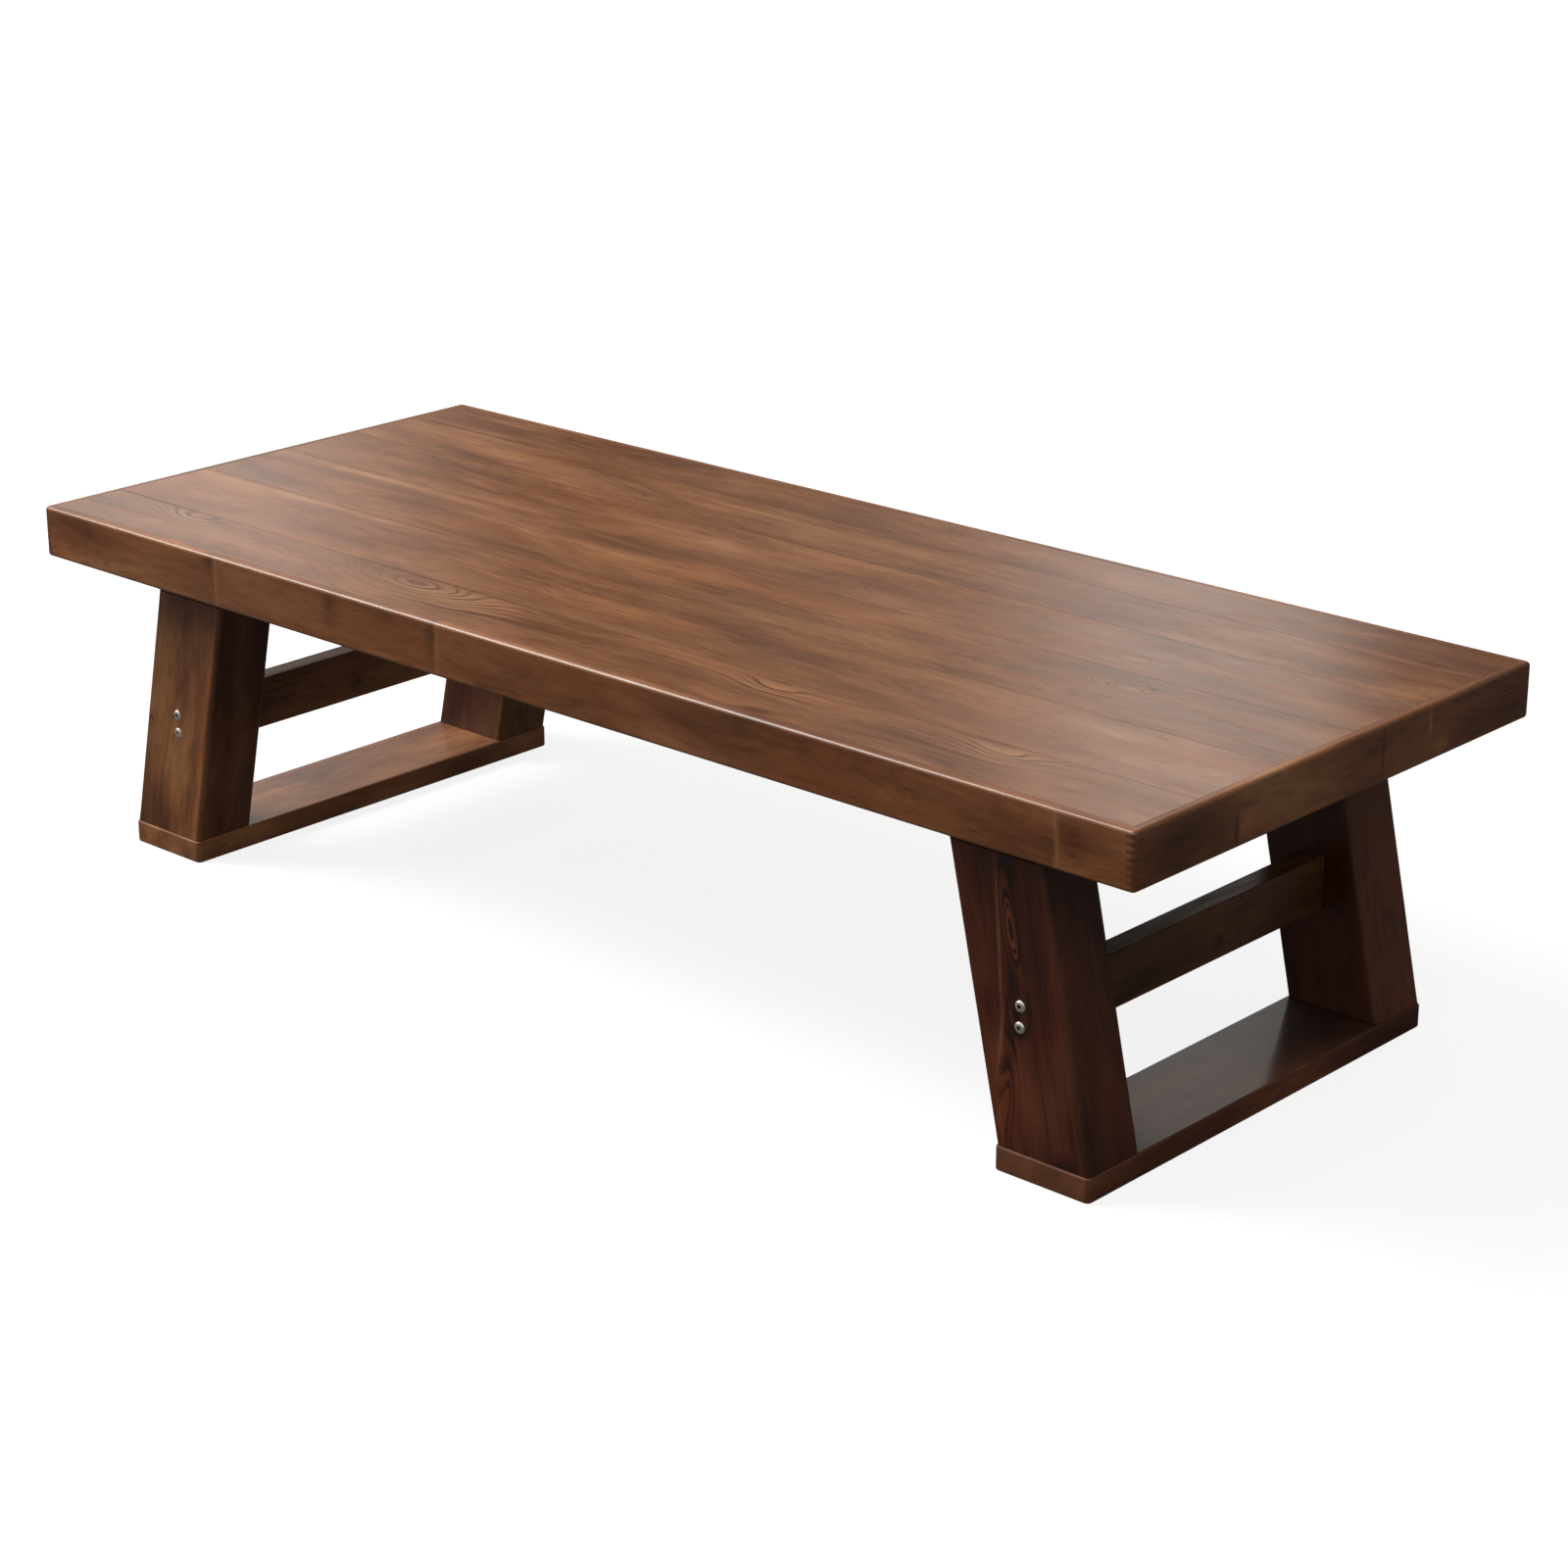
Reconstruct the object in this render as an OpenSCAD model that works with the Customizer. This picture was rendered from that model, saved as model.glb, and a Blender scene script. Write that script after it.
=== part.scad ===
// Low altar table: a thick planked top on two leg frames that lean outward.
// Millimetres. The floor is Z = 0 and the table is centred on X = 0 and Y = 0.
// Its length runs along X, and its front faces -Y.

/* [Table] */
// Length of the top
table_l = 1800; // [1400:10:2200]
// Depth of the top, front to rear
table_w = 750; // [700:5:850]
// Height of the top surface above the floor
table_h = 465; // [400:5:560]

/* [Top] */
// Height of the edge boards, which is how thick the top looks
edge_h = 68; // [56:1:90]
// Thickness of the edge boards
edge_t = 12; // [9:0.5:18]
// Height of one comb finger at the corners, before it is fitted to a whole count
finger_h = 4.25; // [3:0.25:8]
// Thickness of the planks
plank_t = 26; // [20:1:34]
// Width of the first plank, at the rear
plank_1_w = 92; // [70:1:110]
// Width of the second plank
plank_2_w = 110; // [80:1:130]
// Width of the third plank
plank_3_w = 130; // [100:1:150]
// Width of the fourth plank
plank_4_w = 141; // [110:1:160]
// Width of the fifth plank; the sixth fills what is left
plank_5_w = 145; // [120:1:165]
// Rounding of the top's upright corners
corner_r = 7; // [2:0.5:9]
// Rounding of the top's upper and lower arrises
arris_r = 5; // [1:0.5:8]

/* [Battens] */
// Width of the cleats that sit over the leg frames
cleat_w = 130; // [120:2:180]
// Width of the battens between the cleats
batten_w = 40; // [24:1:80]

/* [Leg frames] */
// Distance from the end of the top to the outer edge of the sole board
foot_inset = 85; // [40:1:200]
// Length of the sole boards, front to rear
sole_l = 645; // [560:5:680]
// Width of the sole boards
sole_w = 132; // [110:1:150]
// Thickness of the sole boards
sole_t = 30; // [18:1:40]
// How far the sole boards stand proud of the posts
sole_lip = 1.5; // [0:0.5:8]
// Lean of the posts from upright, in degrees
lean = 12.5; // [0:0.5:16]
// Width of the posts, square to their length
post_w = 126; // [90:1:140]
// Depth of the posts, front to rear
post_d = 91; // [60:1:110]
// Rounding of the posts' arrises
post_r = 7; // [1:0.5:14]
// Thickness of the head boards
head_t = 26; // [18:1:40]
// Thickness of the stretchers
stretcher_t = 32; // [22:1:44]
// Height of the stretchers
stretcher_h = 68; // [50:1:90]
// Height of the stretchers' lower edge above the floor
stretcher_z = 156; // [110:1:200]

/* [Fasteners] */
// Diameter of the bolts
bolt_d = 8; // [6:1:8]
// Height between the two bolts in a post
bolt_pitch = 25; // [19:1:34]
// Diameter of the stretcher bolts' flat heads
bolt_head_d = 14; // [12:0.5:17.5]
// Thickness of the stretcher bolts' flat heads
bolt_head_t = 2.5; // [1.5:0.25:3.5]
// Outer diameter of the threaded inserts
insert_d = 12; // [10:0.5:14]
// Length of the threaded inserts
insert_l = 22; // [15:1:26]
// Diameter of the screws that hold the planks down
top_screw_d = 5; // [4:0.5:6]
// How far those screws reach into the planks
top_screw_bite = 18; // [10:1:19]
// Diameter of the screws at the ends of the posts
post_screw_d = 6; // [5:0.5:8]
// How far those screws reach into the posts
post_screw_bite = 54; // [30:1:70]

/* [Clearances] */
// Radial room around a bolt in a clearance hole
bolt_room = 0.5; // [0.3:0.1:1]
// Radial room around an insert, a screw and a thread
thread_room = 0.15; // [0.1:0.05:0.3]

/* [Hidden] */
$fn = 48;

// Planks, from the rear to the front
plank_l = table_l - 2 * edge_t;
planked_w = table_w - 2 * edge_t;
first_plank_ws = [plank_1_w, plank_2_w, plank_3_w, plank_4_w, plank_5_w];
plank_ws = concat(first_plank_ws, [planked_w - sum_of(first_plank_ws, len(first_plank_ws))]);
plank_count = len(plank_ws);
plank_z = table_h - plank_t;

// The hollow under the planks, which the cleats and battens fill
under_z = table_h - edge_h;
rib_t = edge_h - plank_t;

// Comb fingers: an even count over the height of the edge boards
finger_count = 2 * round(edge_h / finger_h / 2);
finger_step = edge_h / finger_count;

// Leg frame on the +X side; the other is its mirror image
head_z = under_z - head_t;
post_across = post_w / cos(lean);
foot_x = table_l / 2 - foot_inset;
post_foot_x = foot_x - sole_lip - post_across / 2;
post_head_x = post_x(head_z);
post_out_y = sole_l / 2 - sole_lip;
post_in_y = post_out_y - post_d;
post_mid_y = post_out_y - post_d / 2;
stretcher_mid_z = stretcher_z + stretcher_h / 2;
stretcher_x = post_x(stretcher_mid_z);

// Battens between the two cleats, evenly spaced
batten_gap = post_head_x / 2;

// Fasteners
socket_sides = 6;
socket_d = bolt_d * 0.7;
head_seat = 1.5;
stretcher_bolt_l = post_d + insert_l;
insert_hole_l = insert_l + 6;
frame_bolt_l = head_t + insert_l;
frame_bolt_head_t = bolt_d * 0.6;
washer_d = bolt_d * 3;
washer_t = 1.6;
frame_bolt_dx = 22;
frame_bolt_dy = 140;
cleat_screw_dx = 48;
post_screw_dx = 30;
countersink = 1;
board_arris = 2.5;
rib_arris = 1.5;

wood_top = "#8a5f45";
wood_edge = "#6f4429";
wood_leg = "#5a3623";
wood_rib = "#9a7350";
bolt_metal = "silver";
insert_metal = "#b9a87a";

// Helpers

// Sum of the first n values of a list
function sum_of(list, n) = n == 0 ? 0 : list[n - 1] + sum_of(list, n - 1);

// X of the middle of the +X posts at a height
function post_x(z) = post_foot_x - tan(lean) * (z - sole_t);

// Y of the rear edge and of the middle of plank i, counted from the rear
function plank_rear_y(i) = planked_w / 2 - sum_of(plank_ws, i);
function plank_mid_y(i) = plank_rear_y(i) - plank_ws[i] / 2;

// Rectangle centred on the origin with round corners
module round_rect(w, h, r) {
    square([w, h - 2 * r], center = true);
    square([w - 2 * r, h], center = true);
    for (x = [-1, 1], y = [-1, 1])
        translate([x * (w / 2 - r), y * (h / 2 - r)]) circle(r);
}

// Board centred on X and Y, standing on Z = 0, with round upright corners and arrises
module round_board(l, w, t, r_corner, r_arris) {
    intersection() {
        linear_extrude(t) round_rect(l, w, r_corner);
        translate([0, w, t / 2]) rotate([90, 0, 0])
            linear_extrude(2 * w) round_rect(l, t, r_arris);
        translate([-l, 0, t / 2]) rotate([90, 0, 90])
            linear_extrude(2 * l) round_rect(w, t, r_arris);
    }
}

// The child mirrored to the left frame, to the front post, or both
module placed(left, front) {
    mirror([left ? 1 : 0, 0, 0]) mirror([0, front ? 1 : 0, 0]) children();
}

// The child at every post of both frames
module at_each_post() {
    for (left = [false, true], front = [false, true])
        placed(left, front) children();
}

// The child at the two bolt heights, pointing inward along -Y from the outer face of a rear post
module at_stretcher_bolts() {
    for (side = [-1, 1])
        translate([stretcher_x, post_out_y, stretcher_mid_z + side * bolt_pitch / 2])
            rotate([90, 0, 0]) children();
}

// The child at the four bolts that hold a frame to the top, pointing up from the head board
module at_frame_bolts() {
    for (x = [-1, 1], y = [-1, 1])
        translate([post_head_x + x * frame_bolt_dx, y * frame_bolt_dy, head_z]) children();
}

// The child at the two screws under the foot of a rear post, pointing up
module at_sole_screws() {
    for (x = [-1, 1])
        translate([post_foot_x + x * post_screw_dx, post_mid_y, 0]) children();
}

// The child at the two screws over the head of a rear post, pointing down
module at_head_screws() {
    for (x = [-1, 1])
        translate([post_head_x + x * post_screw_dx, post_mid_y, under_z])
            mirror([0, 0, 1]) children();
}

// The child at each screw of the +X cleat, pointing up
module at_cleat_screws() {
    for (i = [0 : plank_count - 1], x = [-1, 1])
        translate([post_head_x + x * cleat_screw_dx, plank_mid_y(i), under_z]) children();
}

// The child at each screw of a batten on X = 0, pointing up
module at_batten_screws() {
    for (i = [0 : plank_count - 1])
        translate([0, plank_mid_y(i), under_z]) children();
}

// Countersunk screw pointing up from Z = 0, its head sunk below that face
module screw(d, l) {
    difference() {
        screw_form(d, l, 0);
        translate([0, 0, countersink - 1]) cylinder(h = 1 + d / 2, d = d * 0.7, $fn = socket_sides);
    }
}

// Hole for that screw, open below Z = 0
module screw_hole(d, l) {
    screw_form(d, l, thread_room);
    translate([0, 0, -1]) cylinder(h = countersink + 1, r = d + thread_room);
}

// Head, shank and point of a screw, with room all round
module screw_form(d, l, room) {
    translate([0, 0, countersink]) cylinder(h = d / 2, r1 = d + room, r2 = d / 2 + room);
    translate([0, 0, countersink]) cylinder(h = l - d - countersink, r = d / 2 + room);
    translate([0, 0, l - d]) cylinder(h = d + room, r1 = d / 2 + room, r2 = d / 8 + room);
}

// Threaded insert from Z = 0 upward
module insert() {
    difference() {
        cylinder(h = insert_l, d = insert_d);
        translate([0, 0, -1]) cylinder(h = insert_l + 2, r = bolt_d / 2 + thread_room);
    }
}

// Top

// The whole top as one block, which gives the edge boards their corners and arrises
module top_block() {
    translate([0, 0, under_z]) round_board(table_l, table_w, edge_h, corner_r, arris_r);
}

// Slots for the fingers of the neighbouring board at both ends, on every second step
module finger_slots(length, first) {
    for (end = [-1, 1], i = [first : 2 : finger_count - 1])
        translate([end * (length - edge_t) / 2, 0, under_z + (i + 0.5) * finger_step])
            cube([edge_t, 3 * edge_t, finger_step], center = true);
}

// Edge board at the rear, along X
module edge_board() {
    color(wood_edge) intersection() {
        top_block();
        translate([0, (table_w - edge_t) / 2, 0]) difference() {
            translate([-table_l, -edge_t / 2, under_z - 1]) cube([2 * table_l, edge_t, edge_h + 2]);
            finger_slots(table_l, 0);
        }
    }
}

// End board on the +X side, along Y
module end_board() {
    color(wood_edge) intersection() {
        top_block();
        translate([(table_l - edge_t) / 2, 0, 0]) rotate([0, 0, 90]) difference() {
            translate([-table_w, -edge_t / 2, under_z - 1]) cube([2 * table_w, edge_t, edge_h + 2]);
            finger_slots(table_w, 1);
        }
    }
}

// Plank i, counted from the rear
module top_plank(i) {
    color(wood_top) difference() {
        translate([-plank_l / 2, plank_rear_y(i) - plank_ws[i], plank_z])
            cube([plank_l, plank_ws[i], plank_t]);
        for (left = [false, true])
            placed(left, false) at_cleat_screws() top_screw_hole();
        for (x = [-batten_gap, 0, batten_gap])
            translate([x, 0, 0]) at_batten_screws() top_screw_hole();
    }
}

module top_screw() screw(top_screw_d, rib_t + top_screw_bite);
module top_screw_hole() screw_hole(top_screw_d, rib_t + top_screw_bite);

// Cross batten on X = x that fills the hollow under the planks
module rib(x, w) {
    translate([x, 0, under_z]) round_board(w, planked_w, rib_t, rib_arris, rib_arris);
}

// Cleat over the +X leg frame
module cleat() {
    color(wood_rib) difference() {
        rib(post_head_x, cleat_w);
        at_cleat_screws() top_screw_hole();
        at_frame_bolts() translate([0, 0, head_t - 1])
            cylinder(h = insert_hole_l + 1, r = insert_d / 2 + thread_room);
    }
}

// Batten on X = x
module batten(x) {
    color(wood_rib) translate([x, 0, 0]) difference() {
        rib(0, batten_w);
        at_batten_screws() top_screw_hole();
    }
}

// Leg frames, drawn on the +X side

// Post at the rear
module post() {
    color(wood_leg) difference() {
        intersection() {
            translate([post_foot_x, post_mid_y, sole_t]) rotate([0, -lean, 0])
                translate([0, 0, -post_w]) linear_extrude(2 * post_w + table_h)
                    round_rect(post_w, post_d, post_r);
            translate([0, 0, sole_t]) cube([table_l, table_w, head_z - sole_t]);
        }
        at_stretcher_bolts() {
            translate([0, 0, -1]) cylinder(h = post_d + 2, r = bolt_d / 2 + bolt_room);
            translate([0, 0, -1]) cylinder(h = head_seat + 1, r = bolt_head_d / 2 + bolt_room);
        }
        at_sole_screws() post_screw_hole(sole_t);
        at_head_screws() post_screw_hole(head_t);
    }
}

// Stretcher between the posts, with a blind hole for an insert at each bolt
module stretcher() {
    color(wood_leg) difference() {
        translate([stretcher_x, post_in_y, stretcher_mid_z]) rotate([90, 0, 0])
            linear_extrude(2 * post_in_y) round_rect(stretcher_t, stretcher_h, board_arris);
        for (front = [false, true])
            placed(false, front) at_stretcher_bolts()
                translate([0, 0, post_d - 1])
                    cylinder(h = insert_hole_l + 1, r = insert_d / 2 + thread_room);
    }
}

// Sole board, which stands on the floor
module sole_board() {
    color(wood_leg) difference() {
        translate([foot_x - sole_w / 2, 0, 0])
            round_board(sole_w, sole_l, sole_t, corner_r, board_arris);
        for (front = [false, true])
            placed(false, front) at_sole_screws() post_screw_hole(sole_t);
    }
}

// Head board, which ties the posts together and bolts to the cleat
module head_board() {
    color(wood_leg) difference() {
        translate([post_head_x, 0, head_z])
            round_board(post_across, 2 * post_out_y, head_t, board_arris, board_arris);
        for (front = [false, true])
            placed(false, front) at_head_screws() post_screw_hole(head_t);
        at_frame_bolts() translate([0, 0, -1])
            cylinder(h = head_t + 2, r = bolt_d / 2 + bolt_room);
    }
}

// Fasteners

module post_screw(board) screw(post_screw_d, board + post_screw_bite);
module post_screw_hole(board) screw_hole(post_screw_d, board + post_screw_bite);

// Flat-headed bolt from the seat in a post into the stretcher, pointing up from Z = 0
module stretcher_bolt() {
    translate([0, 0, head_seat]) difference() {
        union() {
            translate([0, 0, -bolt_head_t]) cylinder(h = bolt_head_t, d = bolt_head_d);
            cylinder(h = stretcher_bolt_l - head_seat, d = bolt_d);
        }
        translate([0, 0, -bolt_head_t - 1])
            cylinder(h = bolt_head_t + 3, d = socket_d, $fn = socket_sides);
    }
}

// Bolt up through a washer and the head board into the cleat, from Z = 0 at the board
module frame_bolt() {
    difference() {
        union() {
            translate([0, 0, -washer_t - frame_bolt_head_t])
                cylinder(h = frame_bolt_head_t, d = 2 * bolt_d);
            translate([0, 0, -washer_t]) cylinder(h = frame_bolt_l + washer_t, d = bolt_d);
        }
        translate([0, 0, -washer_t - frame_bolt_head_t - 1])
            cylinder(h = frame_bolt_head_t, d = socket_d, $fn = socket_sides);
    }
}

module frame_washer() {
    translate([0, 0, -washer_t]) difference() {
        cylinder(h = washer_t, d = washer_d);
        translate([0, 0, -1]) cylinder(h = washer_t + 2, r = bolt_d / 2 + bolt_room);
    }
}

module stretcher_bolts() {
    color(bolt_metal) at_each_post() at_stretcher_bolts() stretcher_bolt();
}

module stretcher_inserts() {
    color(insert_metal) at_each_post() at_stretcher_bolts() translate([0, 0, post_d]) insert();
}

module frame_bolts() {
    color(bolt_metal) for (left = [false, true])
        placed(left, false) at_frame_bolts() frame_bolt();
}

module frame_washers() {
    color(bolt_metal) for (left = [false, true])
        placed(left, false) at_frame_bolts() frame_washer();
}

module frame_inserts() {
    color(insert_metal) for (left = [false, true])
        placed(left, false) at_frame_bolts() translate([0, 0, head_t]) insert();
}

module top_screws() {
    color(insert_metal) {
        for (left = [false, true])
            placed(left, false) at_cleat_screws() top_screw();
        for (x = [-batten_gap, 0, batten_gap])
            translate([x, 0, 0]) at_batten_screws() top_screw();
    }
}

module post_screws() {
    color(insert_metal) at_each_post() {
        at_sole_screws() post_screw(sole_t);
        at_head_screws() post_screw(head_t);
    }
}

placed(false, true) edge_board();  // front_edge_board
edge_board();  // rear_edge_board
placed(true, false) end_board();  // left_end_board
end_board();  // right_end_board
top_plank(0);  // top_plank_1
top_plank(1);  // top_plank_2
top_plank(2);  // top_plank_3
top_plank(3);  // top_plank_4
top_plank(4);  // top_plank_5
top_plank(5);  // top_plank_6
placed(true, false) cleat();  // left_cleat
cleat();  // right_cleat
batten(-batten_gap);  // left_batten
batten(0);  // centre_batten
batten(batten_gap);  // right_batten
placed(true, false) head_board();  // left_head_board
head_board();  // right_head_board
placed(true, true) post();  // left_front_post
placed(true, false) post();  // left_rear_post
placed(false, true) post();  // right_front_post
post();  // right_rear_post
placed(true, false) stretcher();  // left_stretcher
stretcher();  // right_stretcher
placed(true, false) sole_board();  // left_sole_board
sole_board();  // right_sole_board
stretcher_bolts();
stretcher_inserts();
frame_bolts();
frame_washers();
frame_inserts();
top_screws();
post_screws();
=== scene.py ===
"""Looks of a low altar table: walnut-stained softwood under satin lacquer, on a pale studio floor.

Metres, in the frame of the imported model: Z up from the floor, X along the table, -Y to the front.
"""

import logging
import math
from dataclasses import dataclass, field, replace
from enum import Enum
from typing import Callable

import bmesh
import bpy
from mathutils import Matrix, Vector, noise


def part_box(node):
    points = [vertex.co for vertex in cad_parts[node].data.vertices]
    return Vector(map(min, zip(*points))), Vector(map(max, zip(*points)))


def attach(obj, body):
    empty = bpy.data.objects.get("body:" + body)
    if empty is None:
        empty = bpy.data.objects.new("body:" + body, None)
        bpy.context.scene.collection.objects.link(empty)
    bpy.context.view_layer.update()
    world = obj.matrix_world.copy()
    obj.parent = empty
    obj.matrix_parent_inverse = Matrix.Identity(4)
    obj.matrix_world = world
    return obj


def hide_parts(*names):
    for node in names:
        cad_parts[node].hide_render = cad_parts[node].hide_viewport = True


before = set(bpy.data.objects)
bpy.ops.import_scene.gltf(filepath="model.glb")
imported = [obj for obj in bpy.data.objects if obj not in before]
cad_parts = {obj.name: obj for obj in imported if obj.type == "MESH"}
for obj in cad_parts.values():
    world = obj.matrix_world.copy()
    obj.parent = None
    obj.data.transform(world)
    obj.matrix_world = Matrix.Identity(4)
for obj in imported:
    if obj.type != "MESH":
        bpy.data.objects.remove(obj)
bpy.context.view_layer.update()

MM = 0.001
SAME_SPOT, ON_PLANE, ON_FACE = 1e-7, 1e-6, 1e-5
BODY = "root"
SHAPED = "_shaped"

log = logging.getLogger("low_table")


class Side(Enum):
    """End of the table, with its sign along X."""

    LEFT = -1
    RIGHT = 1

    @property
    def word(self) -> str:
        """The side's name as it stands in the nodes' names."""
        return self.name.lower()


class Row(Enum):
    """Front or rear of the table, with its sign along Y."""

    FRONT = -1
    REAR = 1

    @property
    def word(self) -> str:
        """The row's name as it stands in the nodes' names."""
        return self.name.lower()


class Way(Enum):
    """How a board lies: the ways of its grain and of its width. Its outer face looks along their cross."""

    TOP_PLANK = ((1, 0, 0), (0, 1, 0))
    FRONT_EDGE = ((1, 0, 0), (0, 0, 1))
    REAR_EDGE = ((-1, 0, 0), (0, 0, 1))
    RIGHT_END = ((0, 1, 0), (0, 0, 1))
    LEFT_END = ((0, -1, 0), (0, 0, 1))
    CROSS_FLAT = ((0, 1, 0), (-1, 0, 0))
    FRONT_POST = ((0, 0, 1), (-1, 0, 0))
    REAR_POST = ((0, 0, 1), (1, 0, 0))


def linear(code: str) -> tuple[float, float, float, float]:
    """Turns an sRGB hex colour into the linear one that the shaders take.

    Args:
        code: The colour, such as "#53321b".

    Returns:
        Red, green, blue and full alpha.
    """
    knee, slope, lift, power = 0.04045, 12.92, 0.055, 2.4
    levels = [int(code[i : i + 2], 16) / 255 for i in (1, 3, 5)]
    red, green, blue = (c / slope if c <= knee else ((c + lift) / (1 + lift)) ** power for c in levels)
    return (red, green, blue, 1.0)


def add_node(
    tree: bpy.types.NodeTree,
    kind: str,
    inputs: dict | tuple = (),
    stops: tuple = (),
    **settings: object,
) -> bpy.types.Node:
    """Adds a shader node with its settings and links.

    Args:
        tree: Node tree that gets the node.
        kind: The node's type without the leading ShaderNode.
        inputs: The nodes, sockets or plain values that its inputs take, in order or by name or number.
        stops: Places and hex colours of a colour ramp.
        settings: The node's own options.

    Returns:
        The node, which stands for its first output when it feeds another one.
    """
    node = tree.nodes.new("ShaderNode" + kind)
    for name, value in settings.items():
        setattr(node, name, value)
    for name, value in inputs.items() if isinstance(inputs, dict) else enumerate(inputs):
        source = value.outputs[0] if isinstance(value, bpy.types.Node) else value
        if isinstance(source, bpy.types.NodeSocket):
            tree.links.new(source, node.inputs[name])
        else:
            node.inputs[name].default_value = source
    if stops:
        ramp = node.color_ramp
        while len(ramp.elements) < len(stops):
            ramp.elements.new(1.0)
        for element, (place, code) in zip(ramp.elements, stops):
            element.position = place
            element.color = linear(code)
    return node


def new_material(name: str) -> tuple[bpy.types.Material, bpy.types.NodeTree]:
    """Makes a material with an empty node tree.

    Args:
        name: The material's name.

    Returns:
        The material and its tree.
    """
    material = bpy.data.materials.new(name)
    material.use_nodes = True
    material.node_tree.nodes.clear()
    return material, material.node_tree


def put_on(obj: bpy.types.Object, material: bpy.types.Material) -> None:
    """Makes the material the only one of an object, in every slot that its faces use."""
    if not obj.data.materials:
        obj.data.materials.append(material)
    for place in range(len(obj.data.materials)):
        obj.data.materials[place] = material


# Wood: how a board was cut, and its finish


@dataclass(frozen=True)
class Knot:
    """Branch that shows on a board, placed from the board's centre."""

    along: float
    across: float
    radius: float


@dataclass(frozen=True)
class Patch:
    """Soft oval patch on a board, placed from its centre, that differs from the wood round it.

    lift is how much lighter the patch is, slant how far the patch strays across for each metre along,
    red the share of the red stain, bulge how far the year rings swell there, and rings how much more
    strongly they show. On most boards lift is stain that took lighter or darker; on some leg and sole
    boards it is painted light or shade.
    """

    along: float
    across: float
    length: float
    width: float
    lift: float = 0.0
    slant: float = 0.0
    red: float = 0.0
    bulge: float = 0.0
    rings: float = 0.0


@dataclass(frozen=True)
class Cut:
    """How a board was sawn from its log, how it took the stain, and the light and shade painted into some leg
    boards.

    heart is the place of the log's centre line across and through the board, from the board's centre,
    wander is how far that line strays, figure is how strongly the rings show, and joints are the ends
    of the lengths that the board is made of. tone is how dark the board took the stain; on the leg
    boards it is also painted light and shade, higher where a board stands in light, lower in shade.
    """

    seed: int
    heart: tuple[float, float] = (0.0, -0.07)
    wander: tuple[float, float] = (0.02, 0.02)
    tone: float = 1.0
    redness: float = 0.0
    figure: float = 1.0
    ring_pitch: float = 3.6 * MM
    knots: tuple[Knot, ...] = ()
    joints: tuple[float, ...] = ()
    patches: tuple[Patch, ...] = ()


@dataclass
class Board:
    """One board: where it lies, and how it was cut."""

    node: str
    way: Way
    cut: Cut
    lean: float = 0.0

    def __post_init__(self) -> None:
        """Reads the board's box from the frame and turns its axes by the lean."""
        low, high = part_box(self.node)
        self.centre = (low + high) / 2
        grain, width = (Vector(axis) for axis in self.way.value)
        upright = Matrix((grain, width, grain.cross(width)))
        self.axes = Matrix.Rotation(self.lean, 3, "Y") @ upright.transposed()
        self.half = Vector(abs(size) for size in upright @ (high - low)) / 2

    @property
    def place(self) -> Matrix:
        """Matrix from the board's own axes to the frame."""
        return Matrix.Translation(self.centre) @ self.axes.to_4x4()


@dataclass(frozen=True)
class StainedSoftwood:
    """Pine, planed and sanded, wiped with walnut stain and sealed with satin lacquer.

    The eye gets brown wood with thin dark rings, a cathedral figure where the saw ran near the rings,
    red-brown knots, uneven stain and a soft mirror of the room at low angles.

    browns go from where the stain took most to where it took least, at the places on the ramp. clouds,
    bands, streaks and fibres say how much of the unevenness is theirs. The values named up are for
    faces that look up, which are shinier and painted paler, a painted sheen of light: painted sheen in
    colour and weight of the coat, and the upward share of the normal where they start and are full.
    """

    name: str
    slot: str
    browns: tuple[str, ...]
    end_grain: str
    # Pale colour of glue smears, and of the arrises, where it is worn stain and a painted highlight.
    pale_glue_wear_highlight: str
    knot: str = "#2c150b"
    seam: str = "#2a170c"
    red: tuple[float, float, float, float] = (1.06, 0.7, 0.7, 1.0)
    clouds: float = 1.15
    bands: float = 0.36
    streaks: float = 0.24
    fibres: float = 0.12
    ring_depth: float = 0.07
    end_share: float = 0.5
    wear_highlight_reach: float = 7 * MM
    wear_highlight_depth: float = 0.45
    seam_width: float = 0.0
    roughness: float = 0.36
    coat: float = 0.06
    coat_roughness: float = 0.16
    relief: float = 1.0
    ior: float = 1.45
    up_painted_sheen: float = 0.0
    up_coat: float = 0.0
    up_from: float = 0.3
    up_full: float = 0.9
    places: tuple[float, ...] = (0.0, 0.28, 0.5, 0.74, 1.0)

    def dress(self, obj: bpy.types.Object, board: Board, outer_only: bool = False) -> None:
        """Gives a board's object its own cut of this wood.

        Args:
            obj: The object to dress.
            board: The board that it is.
            outer_only: Whether only the arrises of the outer face are lightened, as worn stain and painted
                highlight.
        """
        material, tree = new_material(f"{self.name}_{board.node}")
        SoftwoodPattern(tree, board, self, outer_only).build()
        put_on(obj, material)


@dataclass(frozen=True)
class Figure:
    """Soft pattern in the wood, by the real length and width of its patches."""

    length: float
    width: float
    detail: float = 2.0


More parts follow.
